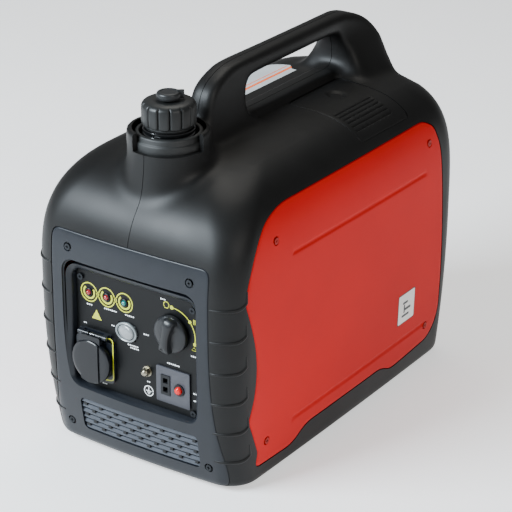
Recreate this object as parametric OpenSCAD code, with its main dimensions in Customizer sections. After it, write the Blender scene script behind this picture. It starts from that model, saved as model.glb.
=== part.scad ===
// Suitcase-style portable inverter generator.
// Millimetres. +Z is up, the control panel faces -Y, the right-hand side is +X.
// The origin is on the floor, under the centre of the overall box.

/* [Overall size] */
// Width across the two side panels
body_w = 285; // [270:1:345]
// Length from the front bulge to the rear bulge
body_l = 499; // [480:1:600]
// Height to the top of the carrying handle
overall_h = 440; // [430:1:530]
// Height of the moulded case without handle and filler
case_top = 364; // [352:1:372]

/* [Case shape] */
// Wall of every moulded cover and case half
wall = 3.2; // [2.6:0.1:4]
// Gap between neighbouring outer pieces
gap = 0.6; // [0.3:0.1:1]
// Height of the case's lower edge above the floor
base_z = 4; // [3:0.5:8]
// Radius of the lower edge
base_r = 7; // [4:0.5:10]
// Height where the walls start to curve over to the top
shoulder_z = 220; // [200:1:240]
// How far the curve over the front reaches backwards
front_run = 190; // [150:1:200]
// How far the curve over the rear reaches forwards
rear_run = 75; // [60:1:150]
// Height of the widest level of the case
belly_z = 190; // [160:1:200]
// How much the front draws in towards its lower edge
front_draft = 21; // [10:1:25]
// How much each side draws in towards its lower edge
side_draft = 5.5; // [2:0.5:9]
// How much the front and rear draw back from middle to corner
end_crown = 6; // [3:0.5:9]
// How much each side draws in from middle to ends
side_crown = 2; // [1:0.5:3]
// Plan radius of the vertical corners
corner_r = 32; // [26:1:36]
// Radius of the crescent ribs on the front corners
rib_r = 2; // [1.2:0.1:3]
// Number of crescent ribs on each front corner
rib_count = 6; // [3:1:6]

/* [Handle] */
// Thickness of the handle bar, top to bottom
bar_t = 23; // [20:0.5:27]
// Width of the handle bar
bar_w = 30; // [26:1:34]
// Front end of the finger gap
grip_front_y = -32; // [-40:1:-20]
// Rear end of the finger gap
grip_rear_y = 160; // [140:1:170]

/* [Front] */
// Half width of the front fascia
fascia_hw = 108; // [104:1:109]
// Height of the fascia's top edge
fascia_top = 279; // [272:1:284]
// Half width of the control recess
recess_hw = 86; // [84:1:90]
// Lower edge of the control recess
recess_z0 = 86; // [84:1:90]
// Upper edge of the control recess
recess_z1 = 232; // [230:1:240]
// Thickness of the control plate
plate_t = 2; // [1.5:0.1:3]
// Depth of the control plate's face behind the front bulge
plate_depth = 18.5; // [17.5:0.5:22]
// Radius of the screw shanks
screw_r = 2; // [1.5:0.1:2.5]
// Radius of the screw heads
head_r = 3.8; // [3.2:0.1:4.2]
// Radial clearance of a screw in its hole
screw_clear = 0.25; // [0.15:0.05:0.4]
// Radial clearance of a turning pin in its bore
run_clear = 0.05; // [0.02:0.01:0.1]

/* [Controls] */
// Radius of the round flip cover on the AC socket
ac_cover_r = 27; // [25.5:0.5:28]
// Radius of the AC socket's round recess
ac_bore_r = 19.5; // [19:0.5:20]
// Radius of the flip cover's hinge pin
ac_pin_r = 1.5; // [1.2:0.1:1.8]
// Radius of the engine knob
knob_r = 22; // [19:0.5:23]
// Radius of the engine knob's shaft
knob_shaft_r = 4; // [3:0.5:5]
// Width of the DC plate
dc_w = 46; // [42:1:47]
// Height of the DC plate
dc_h = 44; // [40:1:46]
// Radius of the breaker's push button
button_r = 4.5; // [3.5:0.1:5.5]
// Radius of the ground terminal's stud
stud_r = 3; // [2.5:0.1:3.5]

/* [Fuel filler] */
// Distance of the filler's axis in front of the middle
filler_y = 166; // [160:1:170]
// Outer radius of the raised filler boss
boss_r = 47; // [45:0.5:50]
// Outer radius of the rubber collar
collar_r = 40.5; // [38:0.5:42]
// Outer radius of the filler neck
neck_r = 28; // [26:0.5:29]
// Radius of the fuel cap over its flutes
cap_r = 30.5; // [30:0.5:32]
// Height of the fuel cap
cap_h = 31; // [28:1:34]
// Radius of the vent knob
vent_r = 13.5; // [11:0.5:15]
// Number of flutes round the fuel cap
flutes = 14; // [10:1:18]

/* [Engine] */
// Height of the crankshaft's axis
crank_z = 118; // [112:1:122]
// Distance of the crankshaft's axis to the right of the middle
crank_x = 8; // [0:1:14]
// Distance of the cylinder's axis behind the middle
cylinder_y = 50; // [46:1:54]
// Lean of the cylinder to the right
cylinder_lean = 30; // [25:1:33]
// Radius of the crankshaft's main journals
journal_r = 12.5; // [11:0.5:14]
// Outer radius of the flywheel rotor
rotor_r = 66; // [60:1:68]
// Outer radius of the rope reel
reel_r = 50; // [44:1:52]
// Radius of the reel's spindle
spindle_r = 8; // [7:0.5:9]
// Radius of the starter rope
rope_r = 2; // [1.6:0.1:2.2]
// Number of cooling fan blades
blades = 12; // [8:1:16]

/* [Hidden] */

$fn = 40;
side_n = 3.7;
front_n = 3;
rear_n = 5.5;
top_corner_r = 45;
half_l = body_l / 2;
eps = 0.01;

// ---------- outer form of the case ----------

// A quarter superellipse: 1 at u = 0 and 0 at u = 1
function fall(u, n) = pow(max(0, 1 - pow(max(0, u), n)), 1 / n);
// How far up the shoulder a height is, for a form drawn in by d
function rise(z, d) = (z - shoulder_z) / (case_top - d - shoulder_z);
// How far the rounded lower edge draws in
function toe(z) = z >= base_z + base_r ? 0
    : base_r - sqrt(max(0, base_r * base_r - pow(base_z + base_r - max(z, base_z), 2)));
// How far below the belly a height is, squared
function sag(z) = pow(max(0, (belly_z - z) / belly_z), 2);
function half_w(z, d) = z > shoulder_z
    ? (body_w / 2 - d) * fall(rise(z, d), side_n)
    : body_w / 2 - d - side_draft * sag(z) - toe(z);
function front_y(z, d) = z > shoulder_z
    ? front_run - half_l - (front_run - d) * fall(rise(z, d), front_n)
    : d - half_l + front_draft * sag(z) + toe(z);
function rear_y(z, d) = z > shoulder_z
    ? half_l - rear_run + (rear_run - d) * fall(rise(z, d), rear_n)
    : half_l - d - front_draft / 2 * sag(z) - toe(z);
function plan_r(z, d) = min(
    corner_r + (top_corner_r - corner_r) * pow(max(0, rise(z, 0)), 2) - d, half_w(z, d) - 1);
// The surface of the front, the rear and the side at a place on it
function front_at(x, z) = front_y(z, 0) + end_crown * pow(x / half_w(z, 0), 2);
function rear_at(x, z) = rear_y(z, 0) - end_crown * pow(x / half_w(z, 0), 2);
function side_at(y, z) = let (f = front_y(z, 0), b = rear_y(z, 0))
    half_w(z, 0) - side_crown * pow((2 * y - f - b) / (b - f), 2);

// One level of the form: four arcs with nc steps and four sides with ns steps
function corner(cx, cy, r, a0, nc) = [for (i = [0:nc])
    [cx + r * cos(a0 + 90 * i / nc), cy + r * sin(a0 + 90 * i / nc)]];
function between(p, q, ns) = [for (i = [1:ns - 1]) p + (q - p) * i / ns];
function crowned(p, hw, f, b) = let (m = (f + b) / 2, v = (p[1] - m) / (b - m))
    [p[0] - side_crown * p[0] / hw * v * v, p[1] - end_crown * pow(p[0] / hw, 2) * v];
function level(z, d, nc, ns) = let (
    hw = half_w(z, d), f = front_y(z, d), b = rear_y(z, d), r = plan_r(z, d),
    c1 = corner(hw - r, f + r, r, -90, nc), c2 = corner(hw - r, b - r, r, 0, nc),
    c3 = corner(r - hw, b - r, r, 90, nc), c4 = corner(r - hw, f + r, r, 180, nc))
    [for (p = concat(c1, between(c1[nc], c2[0], ns), c2, between(c2[nc], c3[0], ns),
        c3, between(c3[nc], c4[0], ns), c4, between(c4[nc], c1[0], ns)))
        let (q = crowned(p, hw, f, b)) [q[0], q[1], z]];
// Heights of the levels, close together where the form curves
function heights(d, fine) = concat(
    [for (a = [0:30:60]) base_z + base_r * (1 - cos(a))],
    [for (i = [0:4]) base_z + base_r + (shoulder_z - base_z - base_r) * i / 4],
    [for (a = [fine:fine:84]) shoulder_z + (case_top - d - shoulder_z) * sin(a)]);

// A closed solid through rings of equal length, anticlockwise seen from above
module loft(rings) {
    n = len(rings[0]);
    k = len(rings);
    polyhedron(
        points = [for (r = rings) each r],
        faces = concat(
            [[for (i = [0:n - 1]) i]],
            [[for (i = [n - 1:-1:0]) (k - 1) * n + i]],
            [for (j = [0:k - 2], i = [0:n - 1])
                [j * n + i, (j + 1) * n + i, (j + 1) * n + (i + 1) % n]],
            [for (j = [0:k - 2], i = [0:n - 1])
                [j * n + i, (j + 1) * n + (i + 1) % n, j * n + (i + 1) % n]]));
}
// The whole outer form, drawn in by d
module form(d, nc = 5, ns = 4, fine = 10.5) {
    loft([for (z = heights(d, fine)) level(z, d, nc, ns)]);
}
// The form carried on below its floor, which leaves the case open underneath
module hollow(d) {
    foot = [for (p = level(base_z, d, 4, 3)) [p[0], p[1], base_z - 2]];
    loft(concat([foot], [for (z = heights(d, 10.5)) level(z, d, 4, 3)]));
}
// A wall of the case between two depths under its surface
module skin(d0, d1) {
    difference() {
        form(d0);
        hollow(d1);
    }
}

// ---------- 2D helpers and outlines ----------

module rrect(w, h, r) {
    square([w, h - 2 * r], center = true);
    square([w - 2 * r, h], center = true);
    for (x = [-1, 1], y = [-1, 1])
        translate([x * (w / 2 - r), y * (h / 2 - r)]) circle(r);
}
module rounded(r) {
    offset(r = r, $fn = 16) offset(r = -2 * r, $fn = 16) offset(r = r, $fn = 16) children();
}
// Fascia, drawn in X and Z: waisted, and wider at its foot
fascia_foot = 7;
module fascia_outline() {
    side = [[fascia_foot, 12], [35, 12], [78, 5], [126, 1.5], [190, 0], [fascia_top, 0]];
    rounded(8) polygon(concat(
        [for (p = side) [fascia_hw + p[1], p[0]]],
        [for (i = [len(side) - 1:-1:0]) [-fascia_hw - side[i][1], side[i][0]]]));
}
rear_hw = 100;
rear_z0 = 34;
rear_z1 = 285;
module rear_outline() {
    translate([0, (rear_z0 + rear_z1) / 2]) rrect(2 * rear_hw, rear_z1 - rear_z0, 16);
}
module recess_outline() {
    translate([0, (recess_z0 + recess_z1) / 2]) rrect(2 * recess_hw, recess_z1 - recess_z0, 12);
}
// Side panel, drawn in Y and Z: scalloped at the front, stepped at the bottom
panel_top = 326;
panel_front = half_l - 29;
panel_rear = half_l - 41;
scallop = 22;
module panel_outline() {
    rounded(9) polygon([
        [panel_rear - 38, panel_top], [panel_rear - 20, panel_top - 10],
        [panel_rear - 12, panel_top - 34], [panel_rear - 3, 200], [panel_rear, 120], [panel_rear, 66],
        [panel_rear - 9, 46], [panel_rear - 26, 33], [108, 28], [93, 28], [71, 38], [-96, 38],
        [-122, 23], [24 - panel_front, 25], [28 - panel_front, 44],
        [8 - panel_front, 92], [scallop - 4 - panel_front, 118],
        [scallop - panel_front, 150], [scallop - 3 - panel_front, 181],
        [9 - panel_front, 214], [-panel_front, 240], [6 - panel_front, 262],
        [21 - panel_front, 292], [44 - panel_front, 315], [80 - panel_front, panel_top]]);
}
// Spark plug cover, drawn in X and Y
plug_x0 = 18;
plug_x1 = 120;
plug_y0 = 42;
plug_y1 = 150;
ridges = 7;
module plug_outline() {
    translate([(plug_x0 + plug_x1) / 2, (plug_y0 + plug_y1) / 2])
        rrect(plug_x1 - plug_x0, plug_y1 - plug_y0, 6);
}
// Extrusions of those outlines towards the front, the rear, a side and the top
module to_front() { rotate([90, 0, 0]) linear_extrude(half_l + 5) children(); }
module to_rear() {
    translate([0, half_l + 5, 0]) rotate([90, 0, 0]) linear_extrude(half_l + 5) children();
}
module to_side(s) {
    translate([s > 0 ? 0 : -body_w, 0, 0]) rotate([90, 0, 90]) linear_extrude(body_w) children();
}
module to_top(z0) { translate([0, 0, z0]) linear_extrude(overall_h - z0) children(); }
// Cylinders along -Y, +Y and a side, from a place outwards
module rod_front(x, y, z, r, len) {
    translate([x, y, z]) rotate([90, 0, 0]) cylinder(r = r, h = len);
}
module rod_rear(x, y, z, r, len) {
    translate([x, y, z]) rotate([-90, 0, 0]) cylinder(r = r, h = len);
}
module rod_side(x, y, z, r, len, s) {
    translate([x, y, z]) rotate([0, 90 * s, 0]) cylinder(r = r, h = len);
}
// Segments of the screw wells in the moulded covers
well_fn = 16;

// ---------- where things are ----------

ledge = 12;
tray_t = 4;
tray_rim_z = base_z + 18;
seat_d = wall + gap;
screw_len = 14;
well = 5;
fascia_screw_at = [[-84, 260], [84, 260], [-98, 30], [98, 30]];
rear_screw_at = [[-84, 270], [84, 270], [-84, 49], [84, 49]];
panel_screw_at = [[-160, 292], [172, 299], [-176, 52], [176, 54]];
plate_screw_at = [[-78, 220], [78, 220], [78, 92.5], [-78, 92.5]];
plate_y = -half_l + plate_depth;
led_at = [-67, -42, -17];
led_z = 203;
led_r = 3.2;
rocker_x = -14;
rocker_z = 168;
ac_x = -58;
ac_z = 123;
ac_hinge_z = ac_z + ac_cover_r + 4.5;
ac_hinge_y = plate_y - 7;
knob_x = 50;
knob_z = 185;
knob_rest = -11;
ground_x = 14;
ground_z = 127;
dc_x = 50.5;
dc_z = 118;
dc_socket_x = dc_x - 10;
button_x = dc_x + 9;
button_z = dc_z - 1;
well_z = case_top + 8;
boss_z = well_z + 25;
neck_z = well_z + 25;
cap_z = neck_z + 1;
spine_z = case_top + 9;
outlet_x = 40;
outlet_z = 190;
outlet_r = 15;
filler = [0, -filler_y, 0];

// ---------- handle ----------

// Sections of the handle: its outer edge, its inner edge and its half width
handle_sections = let (t = overall_h, u = overall_h - bar_t, f = grip_front_y, r = grip_rear_y,
    w = bar_w / 2) [
    [[f - 96, case_top - 26], [f + 6, case_top - 26], w + 16],
    [[f - 89, case_top + 2], [f, case_top + 2], w + 9],
    [[f - 82, t - 48], [f - 4, t - 50], w + 3],
    [[f - 71, t - 20], [f - 3, t - 36], w + 1],
    [[f - 45, t - 5], [f + 3, t - 27], w],
    [[f - 10, t], [f + 16, u], w],
    [[(f + r) / 2, t], [(f + r) / 2, u], w],
    [[r - 10, t], [r - 20, u], w],
    [[r + 24, t - 3], [r - 3, u - 3], w + 2],
    [[r + 52, t - 14], [r + 3, u - 14], w + 7],
    [[r + 69, t - 33], [r + 5, u - 27], w + 15],
    [[r + 78, t - 58], [r + 4, u - 41], w + 25],
    [[r + 81, case_top - 14], [r - 2, case_top - 6], w + 39],
    [[r + 76, case_top - 42], [r - 10, case_top - 30], w + 50]];
handle_round = 9;
// Catmull-Rom curve through four values
function glide(a, b, c, d, t) = (2 * b + (c - a) * t + (2 * a - 5 * b + 4 * c - d) * t * t
    + (3 * b - a - 3 * c + d) * t * t * t) / 2;
function pick(i) = handle_sections[min(max(i, 0), len(handle_sections) - 1)];
function smooth_section(i, t) = [for (k = [0:2])
    glide(pick(i - 1)[k], pick(i)[k], pick(i + 1)[k], pick(i + 2)[k], t)];
function handle_section(i, t) = let (s = smooth_section(i, t))
    [[s[0][0], min(s[0][1], overall_h)], s[1], s[2]];
// A rounded rectangle across the handle, from its outer to its inner edge
function handle_ring(s) = let (
    across = s[0] - s[1], h = norm(across), dir = across / h, mid = (s[0] + s[1]) / 2,
    r = min(handle_round, h / 2 - 0.5, s[2] - 0.5))
    [for (c = [[1, 1, 0], [-1, 1, 90], [-1, -1, 180], [1, -1, 270]], i = [0:3])
        let (a = c[2] + 30 * i,
            x = c[0] * (s[2] - r) + r * cos(a), v = c[1] * (h / 2 - r) + r * sin(a))
        [x, mid[0] + dir[0] * v, mid[1] + dir[1] * v]];
module handle_solid() {
    last = len(handle_sections) - 1;
    rings = concat([for (i = [0:last - 1], t = [0, 0.5]) handle_ring(handle_section(i, t))],
        [handle_ring(pick(last))]);
    loft([for (r = rings) [for (i = [len(r) - 1:-1:0]) r[i]]]);
}

// ---------- case halves ----------

// Low spine under the finger gap
module spine() {
    translate([0, (grip_front_y + grip_rear_y) / 2, case_top - 20])
        linear_extrude(spine_z - case_top + 20)
            rrect(bar_w, grip_rear_y - grip_front_y + 20, 8);
}
module filler_boss() {
    translate(filler) {
        translate([0, 0, case_top - 60]) cylinder(r1 = boss_r + 10, r2 = boss_r, h = 60);
        translate([0, 0, case_top - eps]) cylinder(r = boss_r, h = boss_z - case_top);
    }
}
boss_low_z = well_z + 5;
module filler_cuts() {
    translate(filler) {
        translate([0, 0, well_z]) cylinder(r = collar_r + gap, h = 60);
        translate([0, 0, case_top - 80]) cylinder(r = neck_r + 3, h = 100);
        translate([0, 0, case_top - 61]) cylinder(r1 = boss_r + 6, r2 = boss_r - 4, h = 61);
        // the front and right of the boss are lower, so that the collar shows
        translate([0, 0, boss_low_z]) rotate([0, 0, -112])
            rotate_extrude(angle = 112) translate([collar_r - 1, 0]) square([20, 60]);
    }
}
// Crescent ribs between the fascia and the side panel's scallop
rib_pitch = 38.5;
rib_z0 = 42;
module corner_ribs(s) {
    for (i = [0:rib_count - 1]) {
        z = rib_z0 + i * rib_pitch;
        x1 = half_w(z, 0) - 4;
        hull() {
            translate([s * (fascia_hw + 12), front_at(fascia_hw + 12, z) + 5, z]) sphere(rib_r, $fn = 8);
            translate([s * (x1 - 8), front_y(z, 0) + 17, z + 3]) sphere(rib_r + 1, $fn = 8);
        }
        hull() {
            translate([s * (x1 - 8), front_y(z, 0) + 17, z + 3]) sphere(rib_r + 1, $fn = 8);
            translate([s * x1, front_y(z, 0) + 30, z + 12]) sphere(rib_r, $fn = 8);
        }
    }
}
// A thicker wall round an opening that a cover sits in
module seat_band() { skin(wall - eps, 2 * wall + gap); }
module seats(s) {
    intersection() {
        seat_band();
        translate([-body_w, -body_l, tray_rim_z + 1]) cube([2 * body_w, 2 * body_l, overall_h]);
        union() {
            to_front() offset(delta = 4) fascia_outline();
            to_rear() offset(delta = 4) rear_outline();
            to_side(s) offset(delta = 4) panel_outline();
            to_top(260) offset(delta = 4) plug_outline();
        }
    }
}
module pockets(s) {
    difference() {
        union() {
            to_front() offset(delta = gap) fascia_outline();
            to_rear() offset(delta = gap) rear_outline();
            to_side(s) offset(delta = gap) panel_outline();
            to_top(260) offset(delta = gap) plug_outline();
        }
        hollow(seat_d);
    }
}
module through_openings(s) {
    to_front() offset(delta = -ledge) fascia_outline();
    to_rear() offset(delta = -ledge) rear_outline();
    to_side(s) offset(delta = -ledge) panel_outline();
    to_top(260) offset(delta = -ledge) plug_outline();
}
module shank_holes(s) {
    $fn = well_fn;
    r = screw_r + screw_clear;
    for (p = fascia_screw_at) rod_rear(p[0], front_at(p[0], p[1]), p[1], r, 2 * screw_len);
    for (p = rear_screw_at) rod_front(p[0], rear_at(p[0], p[1]), p[1], r, 2 * screw_len);
    for (p = panel_screw_at)
        rod_side(s * side_at(p[0], p[1]), p[0], p[1], r, 2 * screw_len, -s);
}
module case_half(s) {
    half = half_l + 20;
    difference() {
        union() {
            difference() {
                union() {
                    form(0);
                    handle_solid();
                    spine();
                    filler_boss();
                    corner_ribs(s);
                }
                hollow(wall);
                filler_cuts();
            }
            seats(s);
        }
        pockets(s);
        through_openings(s);
        shank_holes(s);
        translate([s > 0 ? -body_w : 0, -half, -10]) cube([body_w, 2 * half, overall_h + 20]);
    }
}
module case_left() { color("#2b2b28") case_half(-1); }
module case_right() { color("#2b2b28") case_half(1); }

// ---------- covers ----------

// A countersunk well for each screw and the hole for its shank
module front_wells(at) {
    $fn = well_fn;
    for (p = at) {
        y = front_at(p[0], p[1]);
        rod_rear(p[0], y - 5, p[1], head_r + 1.5, 5 + well - wall);
        rod_rear(p[0], y - 1, p[1], screw_r + screw_clear, 30);
    }
}
fascia_vent_rows = 5;
fascia_vent_z = 32;
vent_pitch = 8;
module fascia_vents() {
    for (row = [0:fascia_vent_rows - 1], i = [0:6]) {
        odd = row % 2;
        x = -78 + 24 * i + 12 * odd;
        if (x < 74) translate([x, -150, fascia_vent_z + vent_pitch * row]) rotate([90, 0, 0])
            linear_extrude(120) hull() {
                circle(2, $fn = 6);
                translate([18, 0]) circle(2, $fn = 6);
            }
    }
}
module front_fascia() {
    color("#34373c") difference() {
        union() {
            intersection() {
                skin(0, wall);
                to_front() fascia_outline();
            }
            intersection() {
                form(0);
                translate([0, plate_y + 6, 0]) rotate([90, 0, 0]) linear_extrude(60)
                    offset(delta = 2.5) recess_outline();
            }
        }
        translate([0, plate_y + plate_t, 0]) rotate([90, 0, 0]) linear_extrude(60) recess_outline();
        rotate([90, 0, 0]) linear_extrude(half_l + 5) difference() {
            offset(delta = -3) recess_outline();
            for (p = plate_screw_at) translate(p) circle(5.5, $fn = well_fn);
        }
        fascia_vents();
        front_wells(fascia_screw_at);
        for (p = plate_screw_at) rod_rear(p[0], plate_y, p[1], screw_r + screw_clear, 20, $fn = well_fn);
    }
}
rear_rows = 9;
module rear_slots() {
    for (row = [0:rear_rows - 1], i = [0:4]) {
        z = 66 + 13 * row;
        x = -78 + 32 * i;
        if (norm([x + 13 - outlet_x, z - outlet_z]) > outlet_r + 22)
            translate([x, 150, z]) rotate([-90, 0, 0]) linear_extrude(120) hull() {
                circle(2.6, $fn = 4);
                translate([26, 0]) circle(2.6, $fn = 4);
            }
    }
}
module rear_cover() {
    color("#2e2f30") difference() {
        intersection() {
            skin(0, wall);
            to_rear() rear_outline();
        }
        rear_slots();
        rod_rear(outlet_x, 150, outlet_z, outlet_r + 5, 120);
        for (p = rear_screw_at) {
            y = rear_at(p[0], p[1]);
            rod_front(p[0], y + 5, p[1], head_r + 1.5, 5 + well - wall, $fn = well_fn);
            rod_front(p[0], y + 1, p[1], screw_r + screw_clear, 30, $fn = well_fn);
        }
    }
}
crease_t = 1.2;
module creases(s) {
    intersection() {
        skin(-1, crease_t);
        to_side(s) for (z = [60, 270]) translate([10, z]) hull() {
            translate([-130, 0]) circle(1.5, $fn = 6);
            translate([155, 0]) circle(1.5, $fn = 6);
        }
    }
}
module side_panel(s) {
    difference() {
        intersection() {
            skin(0, wall);
            to_side(s) panel_outline();
        }
        creases(s);
        for (p = panel_screw_at) {
            x = side_at(p[0], p[1]);
            rod_side(s * (x + 5), p[0], p[1], head_r + 1.5, 5 + well - wall, -s, $fn = well_fn);
            rod_side(s * (x + 1), p[0], p[1], screw_r + screw_clear, 20, -s, $fn = well_fn);
        }
    }
}
module side_panel_right() { color("#cf2018") side_panel(1); }
grip_w = 62;
grip_h = 22;
pocket_depth = 17;
module side_panel_left() {
    px = body_w / 2;
    color("#cf2018") difference() {
        union() {
            side_panel(-1);
            intersection() {
                form(0);
                translate([-px - 5, rope_y, rope_z]) rotate([90, 0, 90])
                    linear_extrude(pocket_depth + 5 + wall) rrect(grip_w + 14, grip_h + 18, 8);
            }
        }
        translate([-px - 5, rope_y, rope_z]) rotate([90, 0, 90])
            linear_extrude(pocket_depth + 5) rrect(grip_w + 8, grip_h + 12, 6);
        rod_side(-px - 5, rope_y, rope_z, rope_r + 1.5, 60, 1);
    }
}
module base_tray() {
    foot_hole = foot_stud_r + gap / 2;
    color("#26272a") difference() {
        intersection() {
            form(wall + gap, 4, 3, 10.5);
            translate([-body_w, -body_l, base_z]) cube([2 * body_w, 2 * body_l, tray_rim_z - base_z]);
        }
        intersection() {
            form(2 * wall + gap, 4, 3, 10.5);
            translate([-body_w, -body_l, base_z + tray_t]) cube([2 * body_w, 2 * body_l, 40]);
        }
        for (p = feet_at) translate([p[0], p[1], -1]) cylinder(r = foot_hole, h = 20);
        for (p = mount_at) translate([p[0], p[1], -1]) cylinder(r = bolt_r + gap / 2, h = 20);
    }
}
foot_r = 14;
foot_stud_r = 5;
feet_at = [for (x = [-1, 1], y = [-1, 1]) [x * (body_w / 2 - 40), y * (half_l - 66)]];
module rubber_feet() {
    color("#1c1c1c") for (p = feet_at) translate([p[0], p[1], 0]) {
        cylinder(r = foot_r, h = base_z);
        translate([0, 0, base_z - eps]) cylinder(r = foot_stud_r, h = tray_t + 4);
    }
}
module spark_plug_cover() {
    color("#2c2c2a") difference() {
        intersection() {
            skin(0, wall);
            to_top(260) plug_outline();
        }
        // finger notch and ridged grip
        translate([plug_x0 + 26, (plug_y0 + plug_y1) / 2 + 4, case_top + 4]) hull() {
            sphere(7, $fn = 16);
            translate([0, 14, 0]) sphere(7, $fn = 16);
        }
        intersection() {
            skin(-1, 1);
            for (i = [0:ridges - 1]) translate([plug_x0 + 62 + 6 * i, plug_y0 + 8, 250]) hull() {
                cylinder(r = 1, h = 150, $fn = 6);
                translate([0, plug_y1 - plug_y0 - 26, 0]) cylinder(r = 1, h = 150, $fn = 6);
            }
        }
    }
}

// ---------- screws ----------

// A cross-recess pan-head screw: head towards -Z of its own frame, shank into +Z
module screw(len) {
    difference() {
        union() {
            cylinder(r = head_r, h = 2.4);
            translate([0, 0, 2.3]) cylinder(r = screw_r, h = len);
        }
        for (a = [0, 90]) rotate([0, 0, a]) translate([-2, -0.5, -1]) cube([4, 1, 2.4]);
    }
}
screw_sit = well - wall - 2.4;
module fascia_screws() {
    color("#3c3e42") for (p = fascia_screw_at)
        translate([p[0], front_at(p[0], p[1]) + screw_sit, p[1]]) rotate([-90, 0, 0]) screw(screw_len - 3);
}
module rear_cover_screws() {
    color("#3c3e42") for (p = rear_screw_at)
        translate([p[0], rear_at(p[0], p[1]) - screw_sit, p[1]]) rotate([90, 0, 0]) screw(screw_len - 3);
}
module side_panel_screws() {
    color("#8e1712") for (s = [-1, 1], p = panel_screw_at)
        translate([s * (side_at(p[0], p[1]) - screw_sit), p[0], p[1]]) rotate([0, -90 * s, 0])
            screw(screw_len - 3);
}
module control_plate_screws() {
    color("#3c3e42") for (p = plate_screw_at)
        translate([p[0], plate_y - 2.4, p[1]]) rotate([-90, 0, 0]) screw(8);
}

// ---------- control panel ----------

rocker_w = 18;
rocker_h = 13;
ac_barrel_r = 24;
plate_clear = 0.4;
module control_plate() {
    color("#15181d") difference() {
        translate([0, plate_y + plate_t, 0]) rotate([90, 0, 0]) linear_extrude(plate_t)
            translate([0, (recess_z0 + recess_z1) / 2])
                rrect(2 * (recess_hw - plate_clear), recess_z1 - recess_z0 - 2 * plate_clear, 12);
        for (p = plate_screw_at) rod_front(p[0], 0, p[1], screw_r + screw_clear, half_l);
        for (x = led_at) rod_front(x, 0, led_z, led_r + screw_clear, half_l);
        rod_front(ac_x, 0, ac_z, ac_barrel_r + plate_clear, half_l);
        rod_front(knob_x, 0, knob_z, knob_shaft_r + 1, half_l);
        rod_front(ground_x, 0, ground_z, stud_r + screw_clear, half_l);
        translate([rocker_x, 0, rocker_z]) cube([rocker_w + 6.6, body_l, rocker_h + 6.6], center = true);
        translate([dc_socket_x, 0, dc_z]) cube([13, body_l, 25], center = true);
        rod_front(button_x, 0, button_z, button_r + 2.6, half_l);
    }
}
module led_lamps() {
    for (i = [0:2]) color(i < 2 ? "#d23b33" : "#39b7ad") translate([led_at[i], plate_y, led_z])
        rotate([90, 0, 0]) {
            translate([0, 0, -plate_t - 5]) cylinder(r = led_r, h = 5 + plate_t + 0.6);
            intersection() {
                translate([0, 0, 0.5]) sphere(led_r);
                cylinder(r = led_r + 1, h = led_r + 1);
            }
            translate([0, 0, -plate_t - 6]) cylinder(r = led_r + 1.5, h = 3);
        }
}
rocker_pin_r = 1.2;
rocker_axis_y = plate_y - 1;
module rocker_frame() {
    color("#8f9496") difference() {
        union() {
            translate([rocker_x, plate_y, rocker_z]) rotate([90, 0, 0]) linear_extrude(3)
                rrect(rocker_w + 12, rocker_h + 11, 9);
            translate([rocker_x, plate_y + 6, rocker_z])
                cube([rocker_w + 6, 14, rocker_h + 6], center = true);
        }
        translate([rocker_x, plate_y, rocker_z]) cube([rocker_w + 2.4, 16, rocker_h + 0.8], center = true);
        translate([rocker_x, rocker_axis_y, rocker_z - rocker_h])
            cylinder(r = rocker_pin_r + run_clear, h = 2 * rocker_h);
    }
}
module rocker() {
    color("#a9adae") translate([rocker_x, rocker_axis_y, rocker_z]) rotate([0, 0, -8]) {
        intersection() {
            translate([0, -1, 0]) cube([rocker_w, 10, rocker_h], center = true);
            translate([0, 14, 0]) cylinder(r = 20, h = 2 * rocker_h, center = true, $fn = 60);
        }
        cylinder(r = rocker_pin_r, h = rocker_h + 5, center = true);
    }
}
ac_lug_w = 6;
ac_hinge_hw = 17;
module ac_socket_body() {
    color("#15171c") difference() {
        union() {
            translate([ac_x, plate_y, ac_z]) rotate([90, 0, 0]) linear_extrude(4) rrect(2 * ac_cover_r, 52, 6);
            rod_front(ac_x, plate_y + 32, ac_z, ac_barrel_r, 34);
            rod_front(ac_x, plate_y - 3.9, ac_z, ac_bore_r + 3, 2.9);
            for (x = [-1, 1]) translate([ac_x + x * ac_hinge_hw, ac_hinge_y, ac_hinge_z])
                rotate([0, 90, 0]) cylinder(r = 3, h = ac_lug_w, center = true);
            for (x = [-1, 1]) translate([ac_x + x * ac_hinge_hw - ac_lug_w / 2, ac_hinge_y, ac_hinge_z - 3])
                cube([ac_lug_w, plate_y - ac_hinge_y, 6]);
            translate([ac_x - 22, plate_y - 2, ac_hinge_z - 6]) cube([44, 2, 9]);
        }
        rod_front(ac_x, plate_y + 14, ac_z, ac_bore_r, 40);
        for (x = [-1, 1]) rod_front(ac_x + x * 9.5, plate_y + 30, ac_z, 2.5, 40);
        translate([ac_x, ac_hinge_y, ac_hinge_z]) rotate([0, 90, 0])
            cylinder(r = ac_pin_r, h = 60, center = true);
    }
}
module ac_hinge_pin() {
    color("#9a9da0") translate([ac_x, ac_hinge_y, ac_hinge_z]) rotate([0, 90, 0])
        cylinder(r = ac_pin_r, h = 2 * ac_hinge_hw + ac_lug_w, center = true);
}
cover_t = 6;
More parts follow.
